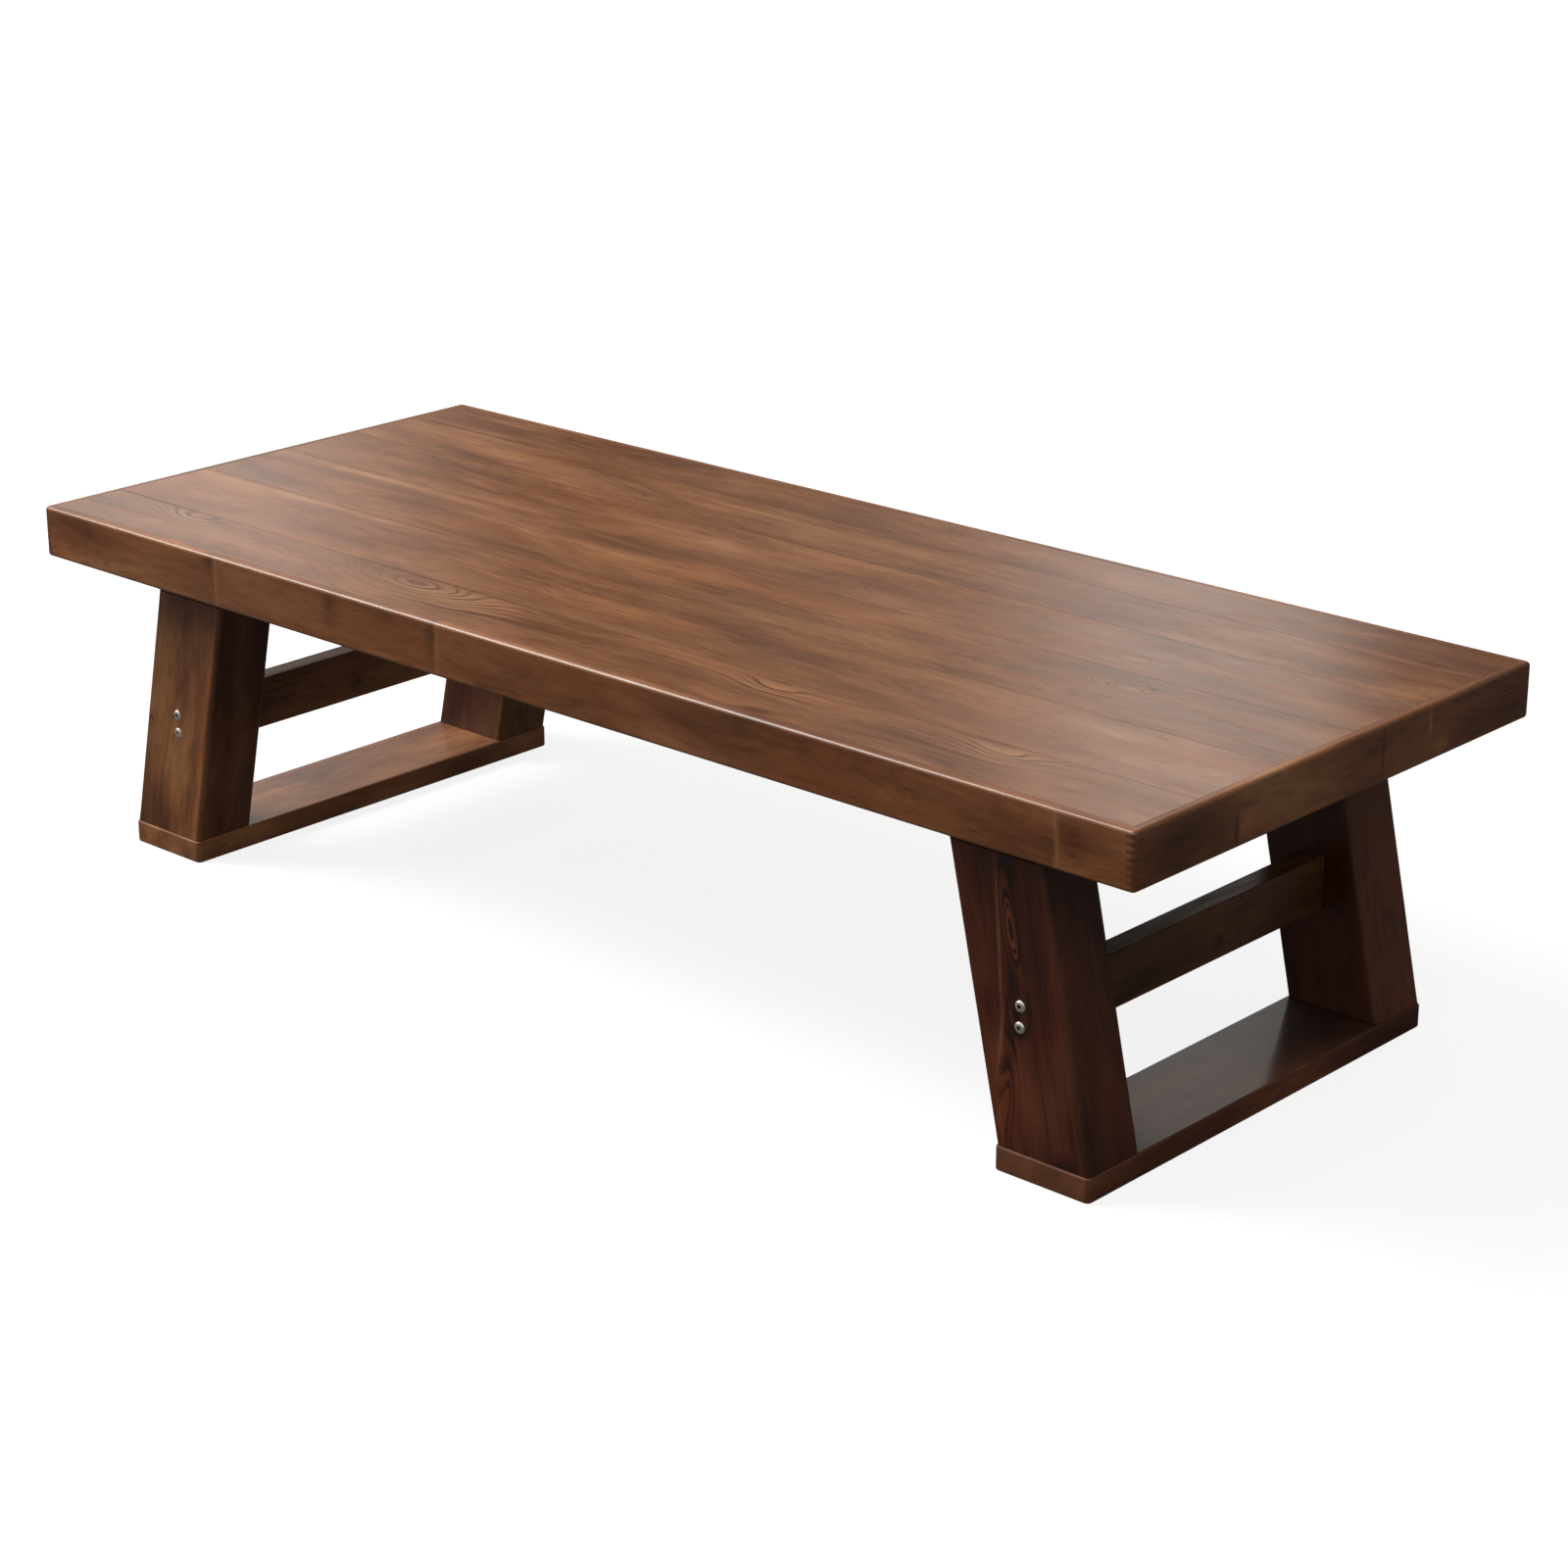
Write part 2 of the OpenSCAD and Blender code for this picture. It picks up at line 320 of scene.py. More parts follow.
class SoftwoodPattern:
    """Node tree of one board, worked out in the log that the board was sawn from."""

    # Sizes are those of planed softwood. A fibre is 0.03 mm wide, so fibres are drawn as coarse as they
    # need to show, in bundles of 3 mm.
    sways = Figure(290 * MM, 110 * MM, 1.0)
    clouds = Figure(230 * MM, 66 * MM, 4.0)
    bands = Figure(550 * MM, 42 * MM, 3.0)
    streaks = Figure(330 * MM, 10.5 * MM, 3.0)
    fibres = Figure(120 * MM, 3 * MM, 1.0)
    hues = Figure(310 * MM, 66 * MM, 3.0)
    warps = Figure(250 * MM, 38 * MM)
    ripples = Figure(17 * MM, 11 * MM, 1.0)
    tears = Figure(33 * MM, 9 * MM)
    resin = Figure(45 * MM, 2.6 * MM, 0.0)
    wear_highlight_patches = Figure(71 * MM, 33 * MM)
    waves = Figure(200 * MM, 83 * MM)

    noise_range = (0.35, 0.65)
    noise_roughness = 0.55
    seed_step = Vector((3.1, 5.7, 7.9))
    length_step = (3.7, 2.3, 5.1)
    sway = 70 * MM
    warp = 9 * MM
    stray_length = 530 * MM
    heartwood = 26 * MM
    heart_dark = -0.3
    early_end, late_start = 0.45, 0.9
    ring_stop = 0.93
    ring_mean = 0.35
    ring_spread = 2.0
    rings_alike = 2.5
    ring_range = (-1.3, -0.5)
    halo_rings = 2.4
    halo_dark = -0.16
    knot_flow = (3.2, 1.9)
    knot_bulge = 1.5
    knot_ripple = 0.8
    knot_rim = (1.1, 1.5)
    knot_share = 0.55
    joint_spread = 0.035
    joint_smear = 7 * MM
    tooth = (7 * MM, 11 * MM)
    tear_range = (0.7, 1.2)
    glue_range = (0.15, 0.6)
    wear_highlight_range = (0.1, 1.2)
    warm = Vector((1.05, 0.97, 0.84))
    cool = Vector((0.98, 1.0, 1.12))
    resin_range = (0.7, 0.78)
    resin_share = 0.4
    end_range = (0.45, 0.9)
    seam_share = 0.36
    rough_range = (-0.05, 0.07)
    ring_relief = 0.012
    fibre_relief, streak_relief, wave_relief = 0.02, 0.05, 0.3

    def __init__(
        self, tree: bpy.types.NodeTree, board: Board, wood: StainedSoftwood, outer_only: bool
    ) -> None:
        """Keeps what the steps share.

        Args:
            tree: The material's tree.
            board: The board to draw.
            wood: The finish.
            outer_only: Whether only the arrises of the outer face are lightened, as worn stain and painted
                highlight.
        """
        self.tree = tree
        self.board = board
        self.cut = board.cut
        self.wood = wood
        self.outer_only = outer_only

    def build(self) -> None:
        """Draws the board from its place in the log to its lacquer."""
        self.place()
        self.rings()
        colour = self.stain()
        colour = self.tint(colour)
        colour = self.marks(colour)
        colour = self.edges(colour)
        self.lacquer(colour)

    def place(self) -> None:
        """Finds the spot on the board, the length of wood that it is in, and the spot in the noise."""
        t, board = self.tree, self.board
        coords = add_node(t, "TexCoord")
        self.normal = coords.outputs["Normal"]
        source = coords.outputs["Object"]
        inputs = {"Vector": source, "Location": board.centre, "Rotation": board.axes.to_euler()}
        self.spot = add_node(t, "Mapping", inputs, vector_type="TEXTURE")
        self.parts = add_node(t, "SeparateXYZ", (self.spot,))
        self.stuff = add_node(t, "VectorMath", (self.spot, self.seed_step * self.cut.seed), operation="ADD")
        self.joint_line = 0.0
        if self.cut.joints:
            self.end_joints()
            inputs = (self.length_number, self.length_step, self.stuff)
            self.stuff = add_node(t, "VectorMath", inputs, operation="MULTIPLY_ADD")
        sway = self.field(self.sways).outputs["Color"]
        sway = add_node(t, "VectorMath", (sway, (0.5, 0.5, 0.5)), operation="SUBTRACT")
        inputs = (sway, (0, self.sway, self.sway), self.stuff)
        self.stuff = add_node(t, "VectorMath", inputs, operation="MULTIPLY_ADD")

    def end_joints(self) -> None:
        """Draws the toothed end joints, and counts those that lie before a spot."""
        t = self.tree
        tooth, reach = self.tooth
        zigzag = add_node(t, "Math", (self.parts.outputs[2], tooth / 2), operation="PINGPONG")
        inputs = (zigzag, 2 * reach / tooth, self.parts.outputs[0])
        along = add_node(t, "Math", inputs, operation="MULTIPLY_ADD")
        self.length_number = 0.0
        for joint in self.cut.joints:
            past = add_node(t, "Math", (along, joint), operation="GREATER_THAN")
            self.length_number = add_node(t, "Math", (self.length_number, past), operation="ADD")
            off = add_node(t, "Math", (along, joint), operation="SUBTRACT")
            off = add_node(t, "Math", (off,), operation="ABSOLUTE")
            inputs = {0: off, 2: self.joint_smear, 3: 1.0, 4: 0.0}
            near = add_node(t, "MapRange", inputs, interpolation_type="SMOOTHSTEP")
            self.joint_line = add_node(t, "Math", (self.joint_line, near), operation="MAXIMUM")

    def field(self, figure: Figure) -> bpy.types.Node:
        """Soft noise in the wood.

        Args:
            figure: The sizes of its patches.

        Returns:
            The noise node, whose first output is about 0.3 to 0.7.
        """
        scale = (1 / figure.length, 1 / figure.width, 1 / figure.width)
        spread = add_node(self.tree, "VectorMath", (self.stuff, scale), operation="MULTIPLY")
        inputs = {"Vector": spread, "Scale": 1.0, "Detail": figure.detail, "Roughness": self.noise_roughness}
        return add_node(self.tree, "TexNoise", inputs)

    def span(self, source: bpy.types.Node, low: float, high: float) -> bpy.types.Node:
        """Maps a field of soft noise to the range from low to high."""
        return add_node(self.tree, "MapRange", (source, *self.noise_range, low, high))

    def bell(self, arm: bpy.types.Node) -> bpy.types.Node:
        """Turns an arm into a nearness.

        Args:
            arm: The node that holds the arm.

        Returns:
            The node, which is 1 where the arm is short and fades to 0 as it grows.
        """
        square = add_node(self.tree, "VectorMath", (arm, arm), operation="DOT_PRODUCT")
        down = add_node(self.tree, "Math", (square.outputs["Value"], -1.0), operation="MULTIPLY")
        return add_node(self.tree, "Math", (down,), operation="EXPONENT")

    def rings(self) -> None:
        """Works out the year rings round the log's wandering heart, which bulge round knots and patches."""
        t = self.tree
        across, behind = self.cut.wander
        heart = Vector((0, self.cut.heart[0] - across, self.cut.heart[1] - behind))
        run = add_node(t, "SeparateXYZ", (self.stuff,))
        inputs = {"W": run, "Scale": 1 / self.stray_length, "Detail": 2.0}
        stray = add_node(t, "TexNoise", inputs, noise_dimensions="1D").outputs["Color"]
        reach = (0, 2 * across, 2 * behind)
        line = add_node(t, "VectorMath", (stray, reach, heart), operation="MULTIPLY_ADD")
        arm = add_node(t, "VectorMath", (self.spot, line), operation="SUBTRACT")
        arm = add_node(t, "VectorMath", (arm, (0, 1, 1)), operation="MULTIPLY")
        radius = add_node(t, "VectorMath", (arm,), operation="LENGTH").outputs["Value"]
        warp = self.field(self.warps)
        radius = add_node(t, "Math", (warp, self.warp, radius), operation="MULTIPLY_ADD")
        self.halo = self.core = 0.0
        for knot in self.cut.knots:
            radius = self.grow_knot(knot, radius)
        self.figured = add_node(t, "Math", (self.halo, self.halo_rings, 1.0), operation="MULTIPLY_ADD")
        self.nears = [self.lay_patch(patch) for patch in self.cut.patches]
        for patch, near in zip(self.cut.patches, self.nears):
            if patch.bulge:
                radius = add_node(t, "Math", (near, patch.bulge, radius), operation="MULTIPLY_ADD")
            if patch.rings:
                inputs = (near, patch.rings, self.figured)
                self.figured = add_node(t, "Math", inputs, operation="MULTIPLY_ADD")
        inputs = (radius, self.heartwood / 2, self.heartwood, 1.0, 0.0)
        self.core_dark = add_node(t, "MapRange", inputs, interpolation_type="SMOOTHSTEP")
        age = add_node(t, "Math", (radius, 1 / self.cut.ring_pitch), operation="MULTIPLY")
        inputs = {"W": age, "Scale": 1 / self.rings_alike, "Detail": 1.0}
        years = add_node(t, "TexNoise", inputs, noise_dimensions="1D")
        age = add_node(t, "Math", (years, self.ring_spread, age), operation="MULTIPLY_ADD")
        year = add_node(t, "Math", (age,), operation="FRACT")
        inputs = (year, self.early_end, self.late_start)
        late = add_node(t, "MapRange", inputs, interpolation_type="SMOOTHSTEP")
        sharp = add_node(t, "MapRange", (year, self.ring_stop, 1.0, 1.0, 0.0))
        self.late = add_node(t, "Math", (late, sharp), operation="MULTIPLY")

    def grow_knot(self, knot: Knot, radius: bpy.types.Node) -> bpy.types.Node:
        """Adds one knot: its core, the darker wood round it, and the bulge of the rings.

        Args:
            knot: The knot.
            radius: The ring radius so far.

        Returns:
            The ring radius with the knot's bulge.
        """
        t = self.tree
        along, across = (1 / (flow * knot.radius) for flow in self.knot_flow)
        arm = add_node(t, "VectorMath", (self.spot, (knot.along, knot.across, 0)), operation="SUBTRACT")
        near = self.bell(add_node(t, "VectorMath", (arm, (along, across, 0)), operation="MULTIPLY"))
        tight = Vector((1, 1, 0)) / knot.radius
        far = add_node(t, "VectorMath", (arm, tight), operation="MULTIPLY")
        far = add_node(t, "VectorMath", (far,), operation="LENGTH").outputs["Value"]
        inputs = (self.field(self.ripples), self.knot_ripple, far)
        far = add_node(t, "Math", inputs, operation="MULTIPLY_ADD")
        inputs = (far, *self.knot_rim, 1.0, 0.0)
        core = add_node(t, "MapRange", inputs, interpolation_type="SMOOTHSTEP")
        self.halo = add_node(t, "Math", (self.halo, near), operation="MAXIMUM")
        self.core = add_node(t, "Math", (self.core, core), operation="MAXIMUM")
        inputs = (near, self.knot_bulge * knot.radius, radius)
        return add_node(t, "Math", inputs, operation="MULTIPLY_ADD")

    def lay_patch(self, patch: Patch) -> bpy.types.Node:
        """Works out how near a spot is to the middle of a patch.

        Args:
            patch: The patch.

        Returns:
            The node, which is 1 in the middle and fades to 0 outside.
        """
        t = self.tree
        middle = (-patch.along, patch.slant * patch.along - patch.across, 0)
        slip = add_node(t, "CombineXYZ", {1: self.parts.outputs[0]})
        arm = add_node(t, "VectorMath", (slip, (0, -patch.slant, 0), middle), operation="MULTIPLY_ADD")
        arm = add_node(t, "VectorMath", (arm, self.spot), operation="ADD")
        size = (1 / patch.length, 1 / patch.width, 0)
        return self.bell(add_node(t, "VectorMath", (arm, size), operation="MULTIPLY"))

    def stain(self) -> bpy.types.Node:
        """Lets the stain take unevenly in clouds, bands, streaks, fibres, rings and patches.

        Returns:
            The node that holds the colour.
        """
        t, wood, cut = self.tree, self.wood, self.cut
        self.cloud = self.field(self.clouds)
        self.streak = self.field(self.streaks)
        self.fibre = self.field(self.fibres)
        shares = {
            self.cloud: wood.clouds,
            self.field(self.bands): wood.bands,
            self.streak: wood.streaks,
            self.fibre: wood.fibres,
        }
        take = add_node(t, "Math", (0.5, sum(shares.values()) / 2), operation="SUBTRACT")
        depth = self.span(self.cloud, *(share * wood.ring_depth * cut.figure for share in self.ring_range))
        depth = add_node(t, "Math", (depth, self.figured), operation="MULTIPLY")
        rings = add_node(t, "Math", (self.late, self.ring_mean), operation="SUBTRACT")
        shares |= {rings: depth, self.core_dark: self.heart_dark, self.halo: self.halo_dark}
        torn = self.span(self.field(self.tears), *self.tear_range)
        for patch, near in zip(cut.patches, self.nears):
            shares[add_node(t, "Math", (near, torn), operation="MULTIPLY")] = patch.lift
        if cut.joints:
            number = add_node(t, "Math", (self.length_number, cut.seed), operation="ADD")
            tone = add_node(t, "TexWhiteNoise", {"W": number}, noise_dimensions="1D").outputs["Value"]
            tone = add_node(t, "Math", (tone, 0.5), operation="SUBTRACT")
            shares[tone] = 2 * self.joint_spread
        for source, share in shares.items():
            take = add_node(t, "Math", (source, share, take), operation="MULTIPLY_ADD")
        return add_node(t, "ValToRGB", (take,), stops=tuple(zip(wood.places, wood.browns)))

    def tint(self, colour: bpy.types.Node) -> bpy.types.Node:
        """Lets the hue wander between warm and cool, and adds the red stain and the painted sheen that makes
        upper faces paler.

        Args:
            colour: The colour so far.

        Returns:
            The node that holds the tinted colour.
        """
        t, wood, cut = self.tree, self.wood, self.cut
        hue = self.span(self.field(self.hues), 0.0, 1.0)
        # cut.tone carries the stain, and on the leg boards also painted light and shade.
        warm, cool = ((*(shade * cut.tone), 1.0) for shade in (self.warm, self.cool))
        tint = add_node(t, "MixRGB", (hue, warm, cool))
        colour = add_node(t, "MixRGB", (1.0, colour, tint), blend_type="MULTIPLY")
        # Painted light: faces that look up are painted paler, as a sheen.
        if wood.up_painted_sheen:
            painted_sheen = self.upward(1.0, 1.0 + wood.up_painted_sheen)
            colour = add_node(t, "MixRGB", (1.0, colour, painted_sheen), blend_type="MULTIPLY")
        reds = cut.redness
        for patch, near in zip(cut.patches, self.nears):
            if patch.red:
                reds = add_node(t, "Math", (near, patch.red, reds), operation="MULTIPLY_ADD")
        return add_node(t, "MixRGB", (reds, colour, wood.red), blend_type="MULTIPLY")

    def upward(self, level: float, up: float) -> bpy.types.Node:
        """Tells faces that look up from upright ones.

        Args:
            level: The value on upright faces.
            up: The value on faces that look up.

        Returns:
            The node that holds the value.
        """
        facing = add_node(self.tree, "SeparateXYZ", (self.normal,)).outputs[2]
        inputs = (facing, self.wood.up_from, self.wood.up_full, level, up)
        return add_node(self.tree, "MapRange", inputs)

    def marks(self, colour: bpy.types.Node) -> bpy.types.Node:
        """Adds resin dashes, the hearts of knots, end grain and the glue of end joints.

        Args:
            colour: The colour so far.

        Returns:
            The node that holds the colour with the marks.
        """
        t, wood = self.tree, self.wood
        inputs = (self.field(self.resin), *self.resin_range, 0.0, self.resin_share)
        dash = add_node(t, "MapRange", inputs)
        heart = add_node(t, "Math", (self.core, self.knot_share), operation="MULTIPLY")
        grain = self.board.axes.col[0]
        facing = add_node(t, "VectorMath", (self.normal, grain), operation="DOT_PRODUCT")
        facing = add_node(t, "Math", (facing.outputs["Value"],), operation="ABSOLUTE")
        inputs = (facing, *self.end_range, 0.0, wood.end_share)
        cut_end = add_node(t, "MapRange", inputs, interpolation_type="SMOOTHSTEP")
        glued = self.span(self.cloud, *self.glue_range)
        glue = add_node(t, "Math", (self.joint_line, glued), operation="MULTIPLY")
        for share, code in (
            (dash, wood.seam),
            (heart, wood.knot),
            (cut_end, wood.end_grain),
            (glue, wood.pale_glue_wear_highlight),
        ):
            colour = add_node(t, "MixRGB", (share, colour, linear(code)))
        return colour

    def edges(self, colour: bpy.types.Node) -> bpy.types.Node:
        """Lightens the arrises, as worn stain and as a painted highlight, or draws the dark seam at a glued
        edge.

        Args:
            colour: The colour so far.

        Returns:
            The node that holds the colour with its edges.
        """
        t, wood = self.tree, self.wood
        near = add_node(t, "VectorMath", (self.spot,), operation="ABSOLUTE")
        if self.outer_only:
            near = add_node(t, "VectorMath", (near, (1, 1, 0)), operation="MULTIPLY")
            out = add_node(t, "CombineXYZ", {2: self.parts.outputs[2]})
            near = add_node(t, "VectorMath", (near, out), operation="ADD")
        inside = add_node(t, "VectorMath", (self.board.half, near), operation="SUBTRACT")
        along, across, deep = add_node(t, "SeparateXYZ", (inside,)).outputs
        if wood.seam_width:
            seam = add_node(t, "Math", (along, across), operation="MINIMUM")
            seam = add_node(t, "MapRange", {0: seam, 2: wood.seam_width, 3: self.seam_share, 4: 0.0})
            return add_node(t, "MixRGB", (seam, colour, linear(wood.seam)))
        # The arrises are painted lighter, partly as worn stain and partly as a painted highlight on their
        # rounds.
        arris = add_node(t, "Math", (across, deep), operation="MAXIMUM")
        inputs = {0: arris, 2: wood.wear_highlight_reach, 3: wood.wear_highlight_depth, 4: 0.0}
        wear_highlight = add_node(t, "MapRange", inputs, interpolation_type="SMOOTHSTEP")
        patchy = self.span(self.field(self.wear_highlight_patches), *self.wear_highlight_range)
        wear_highlight = add_node(t, "Math", (wear_highlight, patchy), operation="MULTIPLY", use_clamp=True)
        return add_node(t, "MixRGB", (wear_highlight, colour, linear(wood.pale_glue_wear_highlight)))

    def lacquer(self, colour: bpy.types.Node) -> None:
        """Seals the wood: thin satin lacquer that lets the rings and fibres show in its relief.

        Args:
            colour: The finished colour.
        """
        t, wood = self.tree, self.wood
        rough = self.span(self.streak, *(wood.roughness + step for step in self.rough_range))
        height = add_node(t, "Math", (self.late, self.ring_relief), operation="MULTIPLY")
        for source, size in (
            (self.fibre, self.fibre_relief),
            (self.streak, self.streak_relief),
            (self.field(self.waves), self.wave_relief),
        ):
            height = add_node(t, "Math", (source, size, height), operation="MULTIPLY_ADD")
        relief = add_node(t, "Bump", {"Strength": wood.relief, "Distance": MM, "Height": height})
        inputs = {
            "Base Color": colour,
            "Roughness": rough,
            "IOR": wood.ior,
            "Coat Weight": self.upward(wood.coat, wood.up_coat) if wood.up_coat else wood.coat,
            "Coat Roughness": wood.coat_roughness,
            "Coat IOR": wood.ior,
            "Normal": relief,
        }
        add_node(t, "OutputMaterial", {"Surface": add_node(t, "BsdfPrincipled", inputs)})


# Metal finishes


@dataclass(frozen=True)
class PlatedSteel:
    """Steel fastener with a thin bright plating, turned and pressed.

    The eye gets a soft metal shine, a few duller blots and a fine grit. Plating is grained at about
    0.02 mm, so the grit is drawn as coarse as it needs to show, at 0.4 mm.
    """

    name: str
    bright: str
    dull: str
    roughness: float
    rough_range: tuple[float, float] = (-0.06, 0.08)
    blot_size: float = 3 * MM
    blot_range: tuple[float, float] = (0.3, 0.7)
    dull_range: tuple[float, float] = (0.4, 0.7)
    grit_size: float = 0.4 * MM
    grit_depth: float = 0.02 * MM
    grit_strength: float = 0.5

    def dress(self, obj: bpy.types.Object) -> None:
        """Plates an object.

        Args:
            obj: The object to plate.
        """
        material, t = new_material(self.name)
        spot = add_node(t, "TexCoord").outputs["Object"]
        blots = add_node(t, "TexNoise", {"Vector": spot, "Scale": 1 / self.blot_size, "Detail": 3.0})
        grit = add_node(t, "TexNoise", {"Vector": spot, "Scale": 1 / self.grit_size, "Detail": 1.0})
        share = add_node(t, "MapRange", (blots, *self.dull_range))
        colour = add_node(t, "MixRGB", (share, linear(self.bright), linear(self.dull)))
        low, high = (self.roughness + step for step in self.rough_range)
        rough = add_node(t, "MapRange", (blots, *self.blot_range, low, high))
        inputs = {"Strength": self.grit_strength, "Distance": self.grit_depth, "Height": grit}
        relief = add_node(t, "Bump", inputs)
        inputs = {"Base Color": colour, "Metallic": 1.0, "Roughness": rough, "Normal": relief}
        add_node(t, "OutputMaterial", {"Surface": add_node(t, "BsdfPrincipled", inputs)})
        put_on(obj, material)


NICKEL = PlatedSteel("nickel_plated_steel", "#f2eee8", "#cfc9c0", 0.4)
ZINC = PlatedSteel("yellow_zinc_plated_steel", "#b9a87a", "#8d7a4c", 0.34)

TOP_WOOD = StainedSoftwood(
    "stained_pine_top",
    "top_wood",
    browns=("#5e3418", "#724523", "#85532f", "#98643d", "#ad7b4e"),
    end_grain="#5c3a20",
    pale_glue_wear_highlight="#9c6e45",
    clouds=1.35,
    streaks=0.36,
    fibres=0.26,
    ring_depth=0.1,
    seam_width=0.9 * MM,
    roughness=0.22,
    coat=0.45,
    coat_roughness=0.07,
    ior=1.5,
)
EDGE_WOOD = StainedSoftwood(
    "stained_pine_edge",
    "edge_wood",
    browns=("#43240f", "#573318", "#6b4124", "#7f5332", "#956a46"),
    end_grain="#4f2e19",
    pale_glue_wear_highlight="#8f663f",
    coat_roughness=0.2,
    relief=0.4,
    # The upward faces get a painted sheen, paler than the upright ones.
    up_painted_sheen=0.55,
    up_coat=0.4,
)
LEG_WOOD = StainedSoftwood(
    "stained_pine_leg",
    "leg_wood",
    browns=("#2a160a", "#3d2211", "#53321b", "#6b4729", "#845d39"),
    end_grain="#57341b",
    pale_glue_wear_highlight="#644730",
    red=(1.06, 0.55, 0.48, 1.0),
    end_share=0.35,
    wear_highlight_depth=0.3,
    clouds=1.3,
    bands=0.3,
    coat=0.0,
)
SOLE_WOOD = replace(
    LEG_WOOD, name="stained_pine_sole", roughness=0.62, up_coat=0.85, up_from=0.95, up_full=0.995
)
RIB_WOOD = StainedSoftwood(
    "thinly_stained_pine_rib",
    "rib_wood",
    browns=("#6f4a2c", "#835b39", "#946d4b", "#a57f5b", "#b6926d"),
    end_grain="#6a4930",
    pale_glue_wear_highlight="#b08a66",
    roughness=0.5,
    coat=0.0,
)


# How each board was sawn from its log and took the stain


POST_DARK, POST_PALE = -0.62, 0.42
POST_KNOTS = (Knot(-0.05, 0.03, 4 * MM),)
# The first patch is painted light: it makes the posts' side along +X lighter than their front. The second is
# red stain.
REAR_POST_LIT_SIDE_AND_RED = (
    Patch(0.0, 0.068, 0.5, 12 * MM, 0.75),
    Patch(0.0, -0.02, 0.5, 60 * MM, red=0.55),
)
EDGE_KNOTS = (Knot(0.1, 0.01, 5 * MM),)
STRETCHER_KNOTS = (Knot(0.02, -0.01, 5 * MM),)

